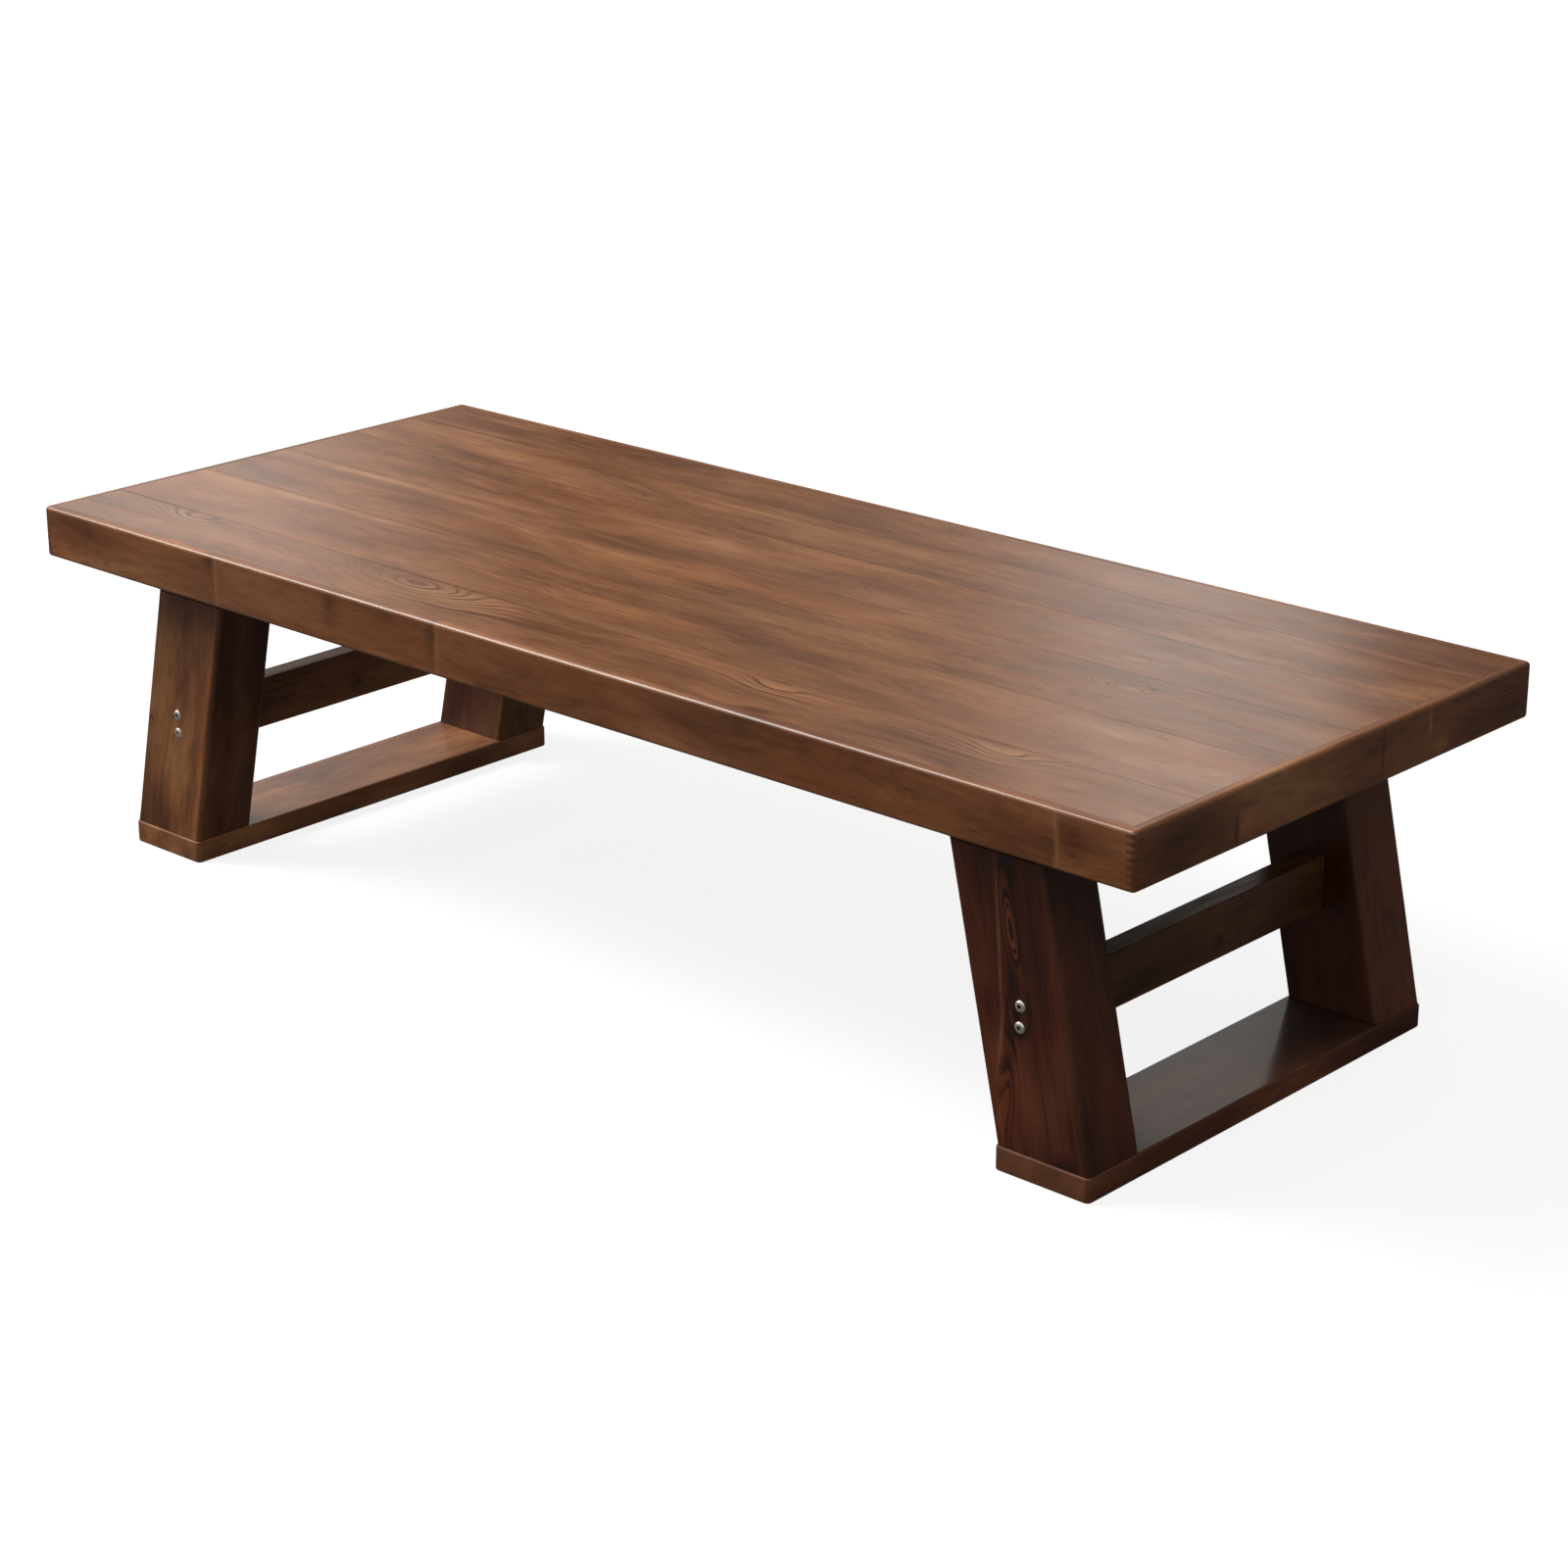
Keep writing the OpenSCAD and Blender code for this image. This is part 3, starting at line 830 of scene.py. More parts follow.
CUTS = {
    "front_edge_board": Cut(
        3,
        (0.012, -0.09),
        tone=1.17,
        joints=(-0.547, -0.136, 0.801),
        patches=(
            Patch(0.42, 0.0, 0.14, 60 * MM, -0.16, red=0.22),
            Patch(0.76, 0.01, 0.07, 30 * MM, -0.2, red=0.3),
            Patch(0.822, 0.0, 0.014, 18 * MM, -0.28, red=0.2),
            Patch(-0.332, 0.012, 0.012, 20 * MM, -0.35),
            Patch(-0.56, 0.026, 0.01, 9 * MM, -0.4),
            Patch(-0.86, 0.004, 0.08, 30 * MM, -0.26, red=0.15),
            Patch(-0.147, 0.01, 0.01, 30 * MM, -0.2),
            Patch(0.35, 0.02, 0.012, 9 * MM, -0.3),
            Patch(-0.06, -0.03, 0.012, 7 * MM, -0.3),
        ),
    ),
    "rear_edge_board": Cut(8, (0.0, -0.09), tone=0.97, knots=EDGE_KNOTS, joints=(-0.42, 0.21, 0.66)),
    "left_end_board": Cut(21, (0.01, -0.09), tone=0.95, knots=EDGE_KNOTS, joints=(-0.12,)),
    "right_end_board": Cut(
        14,
        (-0.01, -0.09),
        tone=1.12,
        patches=(
            Patch(-0.187, -0.014, 0.018, 13 * MM, 0.3, red=0.35),
            Patch(-0.2, -0.016, 0.004, 18 * MM, -0.5),
            Patch(-0.13, 0.0, 0.08, 60 * MM, 0.22),
            Patch(0.03, 0.0, 0.04, 60 * MM, -0.12),
            Patch(0.072, 0.0, 2 * MM, 26 * MM, -0.6),
            Patch(0.165, 0.014, 3 * MM, 16 * MM, 0.55, slant=0.0),
            Patch(0.187, -0.018, 0.014, 10 * MM, 0.3),
            Patch(-0.31, 0.0, 0.07, 60 * MM, -0.42),
            Patch(0.31, 0.0, 0.1, 60 * MM, -0.2),
            *(Patch(0.325, (6 * k - 12) * MM, 20 * MM, 1.1 * MM, -0.5) for k in range(5)),
        ),
    ),
    "top_plank_1": Cut(
        31,
        (0.03, -0.09),
        (0.03, 0.03),
        0.97,
        patches=(
            Patch(-0.76, 0.02, 0.06, 7 * MM, 0.3),
            Patch(-0.76, -0.036, 0.09, 6 * MM, 0.35),
            Patch(0.8, 0.0, 0.12, 30 * MM, -0.15),
            Patch(-0.5, 0.01, 0.3, 50 * MM, -0.25, red=0.1),
        ),
    ),
    "top_plank_2": Cut(
        37,
        (-0.05, -0.11),
        (0.03, 0.03),
        knots=(Knot(-0.35, -0.02, 4 * MM),),
        patches=(
            Patch(-0.21, 0.02, 0.06, 5 * MM, 0.25),
            Patch(-0.7, 0.0, 0.12, 30 * MM, 0.12, red=0.12),
            Patch(-0.42, 0.03, 0.16, 12 * MM, -0.3),
            Patch(-0.66, -0.04, 0.1, 9 * MM, -0.35),
            Patch(0.76, -0.03, 0.07, 30 * MM, -0.3),
        ),
    ),
    "top_plank_3": Cut(
        43,
        (0.05, -0.08),
        (0.03, 0.02),
        1.03,
        patches=(
            Patch(-0.7, 0.02, 0.12, 18 * MM, -0.3),
            Patch(-0.46, -0.02, 0.14, 10 * MM, -0.3, slant=0.05),
            Patch(0.56, -0.02, 0.03, 10 * MM, -0.1, bulge=14 * MM, rings=8.0),
            Patch(0.72, -0.02, 0.06, 14 * MM, -0.2),
        ),
    ),
    "top_plank_4": Cut(
        49,
        (-0.02, -0.07),
        (0.02, 0.025),
        knots=(Knot(0.64, 0.04, 5 * MM),),
        patches=(
            Patch(-0.69, 0.057, 0.16, 9 * MM, 0.5),
            Patch(-0.72, 0.03, 0.12, 12 * MM, -0.3),
            Patch(-0.54, 0.006, 0.1, 14 * MM, -0.25),
            Patch(0.62, 0.02, 0.05, 12 * MM, -0.1, bulge=18 * MM, rings=10.0),
        ),
    ),
    "top_plank_5": Cut(
        55,
        (0.01, -0.06),
        (0.02, 0.03),
        0.99,
        patches=(
            Patch(-0.64, 0.062, 0.24, 8 * MM, 0.4),
            Patch(-0.1, 0.03, 0.2, 22 * MM, -0.3, red=0.1),
            Patch(0.3, 0.0, 0.16, 26 * MM, -0.2, red=0.1),
            Patch(-0.62, 0.03, 0.06, 10 * MM, -0.2),
        ),
    ),
    "top_plank_6": Cut(
        61,
        (-0.03, -0.08),
        tone=0.98,
        ring_pitch=5.5 * MM,
        patches=(
            Patch(-0.27, 0.02, 0.12, 42 * MM, 0.0, bulge=48 * MM),
            Patch(-0.2, 0.012, 0.09, 26 * MM, -0.06, rings=22.0),
            Patch(-0.25, 0.052, 0.16, 3 * MM, -0.45),
            Patch(-0.8, 0.052, 0.12, 3 * MM, -0.55),
            Patch(-0.71, 0.032, 0.06, 24 * MM, 0.0, bulge=22 * MM, rings=15.0),
            Patch(-0.69, 0.04, 0.04, 8 * MM, -0.5),
            Patch(0.32, 0.024, 0.05, 20 * MM, -0.05, bulge=12 * MM, rings=14.0),
            Patch(0.65, 0.024, 0.05, 22 * MM, -0.05, bulge=13 * MM, rings=15.0),
            Patch(0.36, -0.044, 0.018, 7 * MM, -0.9),
            Patch(-0.6, -0.046, 0.03, 7 * MM, -0.3),
            Patch(0.1, 0.0, 0.3, 30 * MM, 0.0, red=0.12),
        ),
    ),
    # Its high tone and its first three patches, broad lifts low and high on the post, are painted light, set
    # to how the lamp lights the post below the top's overhang.
    "left_front_post": Cut(
        70,
        (-0.03, -0.09),
        tone=1.5,
        knots=(Knot(-0.025, 0.053, 5 * MM),),
        patches=(
            Patch(-0.09, 0.005, 0.09, 45 * MM, 0.2),
            Patch(0.06, 0.01, 0.07, 30 * MM, 0.12),
            Patch(0.14, 0.0, 0.07, 60 * MM, 0.2),
            Patch(0.12, -0.03, 0.09, 25 * MM, -0.08, red=0.2),
            Patch(0.09, -0.07, 0.11, 9 * MM, -0.5, red=0.3),
            Patch(0.0, -0.053, 0.3, 4 * MM, 0.22, red=0.3),
            Patch(-0.15, -0.01, 0.035, 50 * MM, -0.22, red=0.15),
        ),
    ),
    # The rear posts' low tones are painted shade.
    "left_rear_post": Cut(74, (0.03, -0.09), tone=0.7, knots=POST_KNOTS, patches=REAR_POST_LIT_SIDE_AND_RED),
    "right_rear_post": Cut(
        84, (0.03, -0.09), tone=0.48, redness=0.65, knots=POST_KNOTS, patches=REAR_POST_LIT_SIDE_AND_RED
    ),
    # A dark figure with knots round its bolts, and a pale line beside it. Its low tone is painted shade.
    "right_front_post": Cut(
        73,
        (0.004, -0.03),
        (0.006, 0.012),
        tone=0.62,
        redness=1.0,
        figure=2.0,
        ring_pitch=5 * MM,
        patches=(
            Patch(0.16, -0.015, 0.035, 3.5 * MM, 0.8 * POST_DARK),
            Patch(0.09, -0.007, 0.05, 10 * MM, 0.3 * POST_DARK, bulge=16 * MM, rings=16.0),
            Patch(0.09, -0.017, 0.06, 3 * MM, 0.6 * POST_DARK),
            Patch(0.03, -0.001, 0.024, 6 * MM, 0.8 * POST_DARK),
            Patch(-0.005, 0.003, 0.022, 11 * MM, 0.9 * POST_DARK, bulge=9 * MM, rings=8.0),
            Patch(-0.04, 0.013, 0.02, 9 * MM, 0.8 * POST_DARK, slant=-0.3, rings=9.0),
            Patch(-0.066, 0.03, 0.012, 6 * MM, 0.6 * POST_DARK, slant=-0.3),
            Patch(0.084, 0.011, 0.1, 2.4 * MM, 1.2 * POST_PALE, slant=-0.147, red=-0.8),
            Patch(-0.039, 0.032, 0.034, 2.4 * MM, 1.2 * POST_PALE, slant=-0.31, red=-0.8),
            Patch(0.14, -0.033, 0.035, 3 * MM, 0.5 * POST_PALE, slant=-0.08),
            Patch(-0.095, 0.03, 0.05, 13 * MM, -0.08, slant=-0.2, bulge=10 * MM, rings=6.0),
            Patch(-0.11, -0.02, 0.06, 34 * MM, 0.16, red=-0.25),
            Patch(-0.135, 0.052, 0.018, 4 * MM, 0.5 * POST_PALE),
            Patch(-0.18, -0.031, 0.01, 14 * MM, POST_DARK),
            Patch(-0.004, 0.043, 0.03, 9 * MM, 0.4 * POST_DARK),
            # Painted light: the side along +X is painted less red than the shaded front.
            Patch(0.0, -0.068, 0.5, 12 * MM, 0.0, red=-0.2),
            # Painted shadow of the top's overhang on the upper end of the post.
            Patch(0.19, -0.05, 0.03, 50 * MM, -0.25),
        ),
    ),
    # The left sole's high tone is painted light.
    "left_sole_board": Cut(110, (0.02, -0.08), tone=2.6),
    "right_sole_board": Cut(
        130,
        (0.02, -0.08),
        tone=1.25,
        redness=0.39,
        # Painted shade: the rear end of the sole, under the rear post, is darker and redder.
        patches=(Patch(0.24, 0.0, 0.14, 90 * MM, -0.65, red=0.4),),
    ),
    # The left stretcher's high tone is painted light.
    "left_stretcher": Cut(113, (0.0, -0.06), (0.01, 0.02), 2.4, knots=STRETCHER_KNOTS),
    "right_stretcher": Cut(133, (0.0, -0.06), (0.01, 0.02), 0.92, knots=STRETCHER_KNOTS),
}


# Meshes


def mesh_object(name: str, bm: bmesh.types.BMesh, place: Matrix | None = None) -> bpy.types.Object:
    """Turns a bmesh into an object with its vertices in the frame.

    Args:
        name: The object's name.
        bm: The mesh, which is freed.
        place: Matrix from the mesh's own axes to the frame.

    Returns:
        The object, linked to the scene.
    """
    if place is not None:
        bm.transform(place)
    bmesh.ops.recalc_face_normals(bm, faces=bm.faces)
    mesh = bpy.data.meshes.new(name)
    bm.to_mesh(mesh)
    bm.free()
    obj = bpy.data.objects.new(name, mesh)
    bpy.context.scene.collection.objects.link(obj)
    return obj


def smooth_arrises(obj: bpy.types.Object, angle: float = math.radians(34), flat_weight: int = 50) -> None:
    """Shades the round arrises smooth and keeps the flat faces flat.

    Args:
        obj: The object.
        angle: Edges that turn by more than this stay sharp.
        flat_weight: How strongly the large faces set the shading.
    """
    obj.data.polygons.foreach_set("use_smooth", [True] * len(obj.data.polygons))
    obj.data.set_sharp_from_angle(angle=angle)
    modifier = obj.modifiers.new("flat_faces", "WEIGHTED_NORMAL")
    modifier.keep_sharp = True
    modifier.weight = flat_weight


def rounded_block(half: Vector, corner: float, arris: float, steps: int) -> bmesh.types.BMesh:
    """Box with round upright corners and round arrises on its two wide faces.

    Args:
        half: Half sizes along X, Y and Z.
        corner: Radius of the four edges along Z.
        arris: Radius of the edges round the two faces across Z.
        steps: Faces in each round.

    Returns:
        The mesh, centred on the origin.
    """
    bm = bmesh.new()
    bmesh.ops.create_cube(bm, size=2.0, matrix=Matrix.Diagonal(half.to_4d()))
    for radius, rim in ((corner, False), (arris, True)):
        if radius <= 0:
            continue
        edges = [e for e in bm.edges if (abs(e.verts[0].co.z - e.verts[1].co.z) < half.z) is rim]
        bmesh.ops.bevel(
            bm, geom=edges, offset=radius, segments=steps, profile=0.5, affect="EDGES", clamp_overlap=False
        )
    bmesh.ops.remove_doubles(bm, verts=bm.verts, dist=SAME_SPOT)
    return bm


def add_loops(bm: bmesh.types.BMesh, axis: int, half: float, gap: float) -> None:
    """Cuts rows of edges across a mesh, so that its arrises can wander.

    Args:
        bm: The mesh.
        axis: Axis along which the rows follow each other.
        half: Half the mesh's length along it.
        gap: About how far the rows lie apart.
    """
    count = max(2, round(2 * half / gap))
    normal = Vector(1.0 if i == axis else 0.0 for i in range(3))
    for k in range(1, count):
        spot = normal * (half * (2 * k / count - 1))
        bmesh.ops.bisect_plane(
            bm, geom=[*bm.verts, *bm.edges, *bm.faces], plane_co=spot, plane_no=normal, dist=ON_PLANE
        )


def wear(
    bm: bmesh.types.BMesh, touches: Callable[[Vector], bool], depth: float, waves: float, seed: float = 0.0
) -> None:
    """Sands a mesh a little unevenly, always inward, so that it stays in its box.

    Args:
        bm: The mesh, with its normals up to date.
        touches: Says whether a spot is sanded.
        depth: Deepest wear.
        waves: How many times the wear comes and goes in a metre.
        seed: Makes each board its own.
    """
    for vert in bm.verts:
        if touches(vert.co):
            share = 0.5 + 0.5 * noise.noise(vert.co * waves + Vector((seed, 0, 0)))
            vert.co -= vert.normal * depth * share


def round_outline(half_w: float, half_h: float, radius: float, steps: int) -> list[tuple[float, float]]:
    """Outline of a rectangle with round corners, counter-clockwise.

    Args:
        half_w: Half its width.
        half_h: Half its height.
        radius: Radius of its corners.
        steps: Straight pieces in each corner.

    Returns:
        The points.
    """
    points = []
    for turn, (sx, sy) in enumerate(((1, 1), (-1, 1), (-1, -1), (1, -1))):
        for k in range(steps + 1):
            angle = math.pi / 2 * (turn + k / steps)
            x = sx * (half_w - radius) + radius * math.cos(angle)
            y = sy * (half_h - radius) + radius * math.sin(angle)
            points.append((x, y))
    return points


def loft(bm: bmesh.types.BMesh, outlines: list[list[Vector]]) -> None:
    """Adds a closed body whose skin runs through outlines with equal numbers of points.

    Args:
        bm: The mesh that gets the body.
        outlines: The outlines, from one end of the body to the other.
    """
    rings = [[bm.verts.new(point) for point in outline] for outline in outlines]
    for near, far in zip(rings, rings[1:]):
        for i in range(len(near)):
            j = (i + 1) % len(near)
            bm.faces.new((near[i], near[j], far[j], far[i]))
    bm.faces.new(rings[0][::-1])
    bm.faces.new(rings[-1])


def add_rod(bm: bmesh.types.BMesh, place: Matrix, radius: float, length: float, sides: int) -> None:
    """Adds a straight rod with flat ends.

    Args:
        bm: The mesh that gets the rod.
        place: The rod's middle, with its Z along the rod.
        radius: The rod's radius.
        length: The rod's length.
        sides: Flat faces round it.
    """
    bmesh.ops.create_cone(
        bm, cap_ends=True, segments=sides, radius1=radius, radius2=radius, depth=length, matrix=place
    )


def off_faces(spot: Vector, half: Vector, first: int = 0) -> bool:
    """Whether a spot of a centred block is on none of its flat faces.

    Args:
        spot: The spot.
        half: The block's half sizes.
        first: First axis whose faces count.

    Returns:
        True where it is on a round.
    """
    return all(half[i] - abs(spot[i]) > ON_FACE for i in range(first, 3))


def carve(obj: bpy.types.Object, cutter: bpy.types.Object, operation: str = "DIFFERENCE") -> None:
    """Cuts an object's mesh with another one, which is then removed.

    Args:
        obj: The object to cut.
        cutter: The object that cuts it.
        operation: The kind of cut.
    """
    modifier = obj.modifiers.new("cut", "BOOLEAN")
    modifier.operation = operation
    modifier.solver = "MANIFOLD"
    modifier.object = cutter
    shown = obj.evaluated_get(bpy.context.evaluated_depsgraph_get())
    mesh = bpy.data.meshes.new_from_object(shown)
    obj.modifiers.clear()
    old, obj.data = obj.data, mesh
    bpy.data.meshes.remove(old)
    bpy.data.objects.remove(cutter)


def box_cutter(boxes: list[tuple[Vector, Vector]]) -> bpy.types.Object:
    """Makes an object of plain boxes that cuts others.

    Args:
        boxes: The centre and the size of each box.

    Returns:
        The cutter.
    """
    bm = bmesh.new()
    for centre, size in boxes:
        place = Matrix.Translation(centre) @ Matrix.Diagonal(size.to_4d())
        bmesh.ops.create_cube(bm, size=1.0, matrix=place)
    return mesh_object("cutter", bm)


def finish_piece(obj: bpy.types.Object, node: str) -> None:
    """Lets a shaped piece stand for its CAD node: shades its arrises, attaches it to the body and hides the
    node.

    Args:
        obj: The piece.
        node: The node that it replaces.
    """
    smooth_arrises(obj)
    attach(obj, BODY)
    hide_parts(node)
    log.info("%s: %d faces", obj.name, len(obj.data.polygons))


# Sub-assemblies


@dataclass
class EdgeBoards:
    """The four boards round the top, comb-jointed at the corners."""

    thickness: float = 12 * MM
    fingers: int = 16
    corner: float = 7 * MM
    arris: float = 5 * MM
    round_steps: int = 6
    wear: float = 0.12 * MM
    wear_waves: float = 9.0
    wear_seed: float = 1.7
    loop_gap: float = 24 * MM
    spare: float = 3 * MM

    def __post_init__(self) -> None:
        """Finds the top's block from the boards' boxes."""
        self.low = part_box("front_edge_board")[0]
        self.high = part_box("rear_edge_board")[1]
        self.half = (self.high - self.low) / 2
        self.centre = (self.high + self.low) / 2
        self.step = 2 * self.half.z / self.fingers

    def block(self, name: str) -> bpy.types.Object:
        """Makes the whole top as one worn block, from which each board is cut.

        Args:
            name: The name of the board that will be cut from it.

        Returns:
            The block.
        """
        bm = rounded_block(self.half, self.corner, self.arris, self.round_steps)
        add_loops(bm, 0, self.half.x, self.loop_gap)
        add_loops(bm, 1, self.half.y, self.loop_gap)
        bm.normal_update()
        wear(bm, lambda spot: off_faces(spot, self.half), self.wear, self.wear_waves, self.wear_seed)
        return mesh_object(name, bm, Matrix.Translation(self.centre))

    def strip(self, axis: int, end: int, z: float, height: float) -> tuple[Vector, Vector]:
        """Box that takes in the outermost board's thickness at one side of the top.

        Args:
            axis: Axis across that side.
            end: Its sign along the axis.
            z: Middle height of the box.
            height: Height of the box.

        Returns:
            The box's centre and size.
        """
        centre = Vector((0, 0, z))
        centre[axis] = end * (self.half[axis] + (self.spare - self.thickness) / 2)
        size = Vector((3 * self.half.x, 3 * self.half.x, height))
        size[axis] = self.thickness + self.spare
        return centre, size

    def build(self) -> None:
        """Cuts the four boards out of the block, with slots for their neighbours' fingers."""
        for node, way, axis, end in (
            ("front_edge_board", Way.FRONT_EDGE, 1, -1),
            ("rear_edge_board", Way.REAR_EDGE, 1, 1),
            ("left_end_board", Way.LEFT_END, 0, -1),
            ("right_end_board", Way.RIGHT_END, 0, 1),
        ):
            slots = [
                self.strip(1 - axis, side, self.low.z + (number + 0.5) * self.step, self.step)
                for side in (-1, 1)
                for number in range(1 - axis, self.fingers, 2)
            ]
            obj = self.block(node + SHAPED)
            carve(obj, box_cutter([self.strip(axis, end, self.centre.z, 4 * self.half.z)]), "INTERSECT")
            carve(obj, box_cutter(slots))
            EDGE_WOOD.dress(obj, Board(node, way, CUTS[node]), outer_only=True)
            finish_piece(obj, node)


@dataclass
class TopPlanks:
    """The six planks of the top, glued edge to edge, with a hair's breadth of round at each joint."""

    count: int = 6
    joint_round: float = 0.35 * MM
    round_steps: int = 2

    def build(self) -> None:
        """Builds and dresses the planks from the rear to the front."""
        for number in range(1, self.count + 1):
            node = f"top_plank_{number}"
            board = Board(node, Way.TOP_PLANK, CUTS[node])
            bm = bmesh.new()
            bmesh.ops.create_cube(bm, size=2.0, matrix=Matrix.Diagonal(board.half.to_4d()))
            bmesh.ops.bevel(
                bm, geom=bm.edges[:], offset=self.joint_round, segments=self.round_steps, affect="EDGES"
            )
            obj = mesh_object(node + SHAPED, bm, board.place)
            TOP_WOOD.dress(obj, board)
            finish_piece(obj, node)


@dataclass
class LegFrame:
    """One leaning leg frame: two posts, a stretcher and a sole board."""

    side: Side
    lean: float = math.radians(12.5)
    post_width: float = 126 * MM
    post_round: float = 7 * MM
    post_round_steps: int = 6
    foot_chamfer: float = 0.9 * MM
    sole_corner: float = 7 * MM
    sole_arris: float = 2.5 * MM
    sole_round_steps: int = 5
    wear: float = 0.3 * MM
    post_waves: float = 26.0
    board_waves: float = 9.0
    worn_from: float = 2 * MM
    loop_gap: float = 20 * MM
    pocket_radius: float = 7.5 * MM
    pocket_depth: float = 1.5 * MM
    bolt_radius: float = 4.5 * MM
    bolt_height: float = 190 * MM
    bolt_pitch: float = 25 * MM
    bore_sides: int = 48
    spare: float = 5 * MM

    def post(self, row: Row) -> None:
        """Builds and dresses one post, cut level at its foot and its head, with pockets for the bolts.

        Args:
            row: Front or rear.
        """
        node = f"{self.side.word}_{row.word}_post"
        way = Way.FRONT_POST if row is Row.FRONT else Way.REAR_POST
        board = Board(node, way, CUTS[node], -self.lean * self.side.value)
        low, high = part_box(node)
        board.half = Vector((board.half.x, self.post_width / 2, (high.y - low.y) / 2))
        outline, tight = (
            round_outline(board.half.y - inset, board.half.z - inset, self.post_round, self.post_round_steps)
            for inset in (0.0, self.foot_chamfer)
        )
        foot = low.z + self.foot_chamfer
        rise = high.z - low.z - 2 * self.foot_chamfer
        count = max(2, round((high.z - low.z) / self.loop_gap))
        layers = [(low.z, tight)]
        layers += [(foot + rise * k / count, outline) for k in range(count + 1)]
        layers.append((high.z, tight))

        def touches(spot: Vector) -> bool:
            """Whether a spot is on a round arris, away from the post's ends."""
            near_end = min(spot.z - low.z, high.z - spot.z) <= self.worn_from
            return not near_end and off_faces(board.axes.transposed() @ (spot - board.centre), board.half, 1)

        bm = bmesh.new()
        loft(bm, [[self.level_point(board, z, *point) for point in points] for z, points in layers])
        bm.normal_update()
        wear(bm, touches, self.wear, self.post_waves)
        obj = mesh_object(node + SHAPED, bm)
        carve(obj, self.bolt_cutter(board, row))
        LEG_WOOD.dress(obj, board)
        finish_piece(obj, node)

    def level_point(self, board: Board, z: float, across: float, deep: float) -> Vector:
        """Point of a post's outline at a height, on the line along the post's grain.

        Args:
            board: The post.
            z: Height in the frame.
            across: Place across the post's width.
            deep: Place through its depth.

        Returns:
            The point in the frame.
        """
        grain, width, out = (board.axes.col[i] for i in range(3))
        side = board.centre + width * across + out * deep
        return side + grain * ((z - side.z) / grain.z)

    def bolt_cutter(self, board: Board, row: Row) -> bpy.types.Object:
        """Cylinders for a post's bolts: a wide pocket at the outer face, and a bore right through.

        Args:
            board: The post.
            row: Front or rear.

        Returns:
            The cutter.
        """
        bm = bmesh.new()
        outer = row.value * board.half.z
        far = outer + row.value * self.spare
        pocket_floor = outer - row.value * self.pocket_depth
        middle = self.level_point(board, self.bolt_height, 0.0, 0.0)
        for step in (-0.5, 0.5):
            for radius, inner in ((self.pocket_radius, pocket_floor), (self.bolt_radius, -2 * outer)):
                offset = Vector((0, (far + inner) / 2, step * self.bolt_pitch))
                place = Matrix.Translation(middle + offset) @ Matrix.Rotation(math.pi / 2, 4, "X")
                add_rod(bm, place, radius, abs(far - inner), self.bore_sides)
        return mesh_object("cutter", bm)

    def flat_board(self, name: str, way: Way, wood: StainedSoftwood, corner: float) -> None:
        """Builds and dresses a board of the frame that isn't a post.

        Args:
            name: The node's name without the side.
            way: How the board lies.
            wood: Its finish.
            corner: Radius of its corners, seen on its outer face.
        """
        node = f"{self.side.word}_{name}"
        board = Board(node, way, CUTS[node])
        half = board.half
        bm = rounded_block(half, corner, self.sole_arris, self.sole_round_steps)
        add_loops(bm, 0, half.x, self.loop_gap)
        bm.normal_update()
        wear(bm, lambda spot: off_faces(spot, half), self.wear / 2, self.board_waves, board.cut.seed)
        obj = mesh_object(node + SHAPED, bm, board.place)
        wood.dress(obj, board)
        finish_piece(obj, node)

    def build(self) -> None:
        """Builds the frame's wood."""
        for row in Row:
            self.post(row)
        end = Way.RIGHT_END if self.side is Side.RIGHT else Way.LEFT_END
        self.flat_board("sole_board", Way.CROSS_FLAT, SOLE_WOOD, self.sole_corner)
        self.flat_board("stretcher", end, LEG_WOOD, 0.0)


@dataclass
class HiddenWood:
    """The wood under the top: cleats, battens and head boards, which keep their CAD shapes."""

    ribs: tuple[str, ...] = ("left_cleat", "right_cleat", "left_batten", "centre_batten", "right_batten")
    heads: tuple[str, ...] = ("left_head_board", "right_head_board")
    rib_seed: int = 201
    head_seed: int = 231
    heart: tuple[float, float] = (0.02, -0.08)

    def build(self) -> None:
        """Dresses the boards."""
        groups = ((RIB_WOOD, self.ribs, self.rib_seed), (LEG_WOOD, self.heads, self.head_seed))
        for wood, names, first in groups:
            for number, node in enumerate(names):
                board = Board(node, Way.CROSS_FLAT, Cut(first + 3 * number, self.heart))
                wood.dress(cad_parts[node], board)
                log.info("%s: dressed", node)


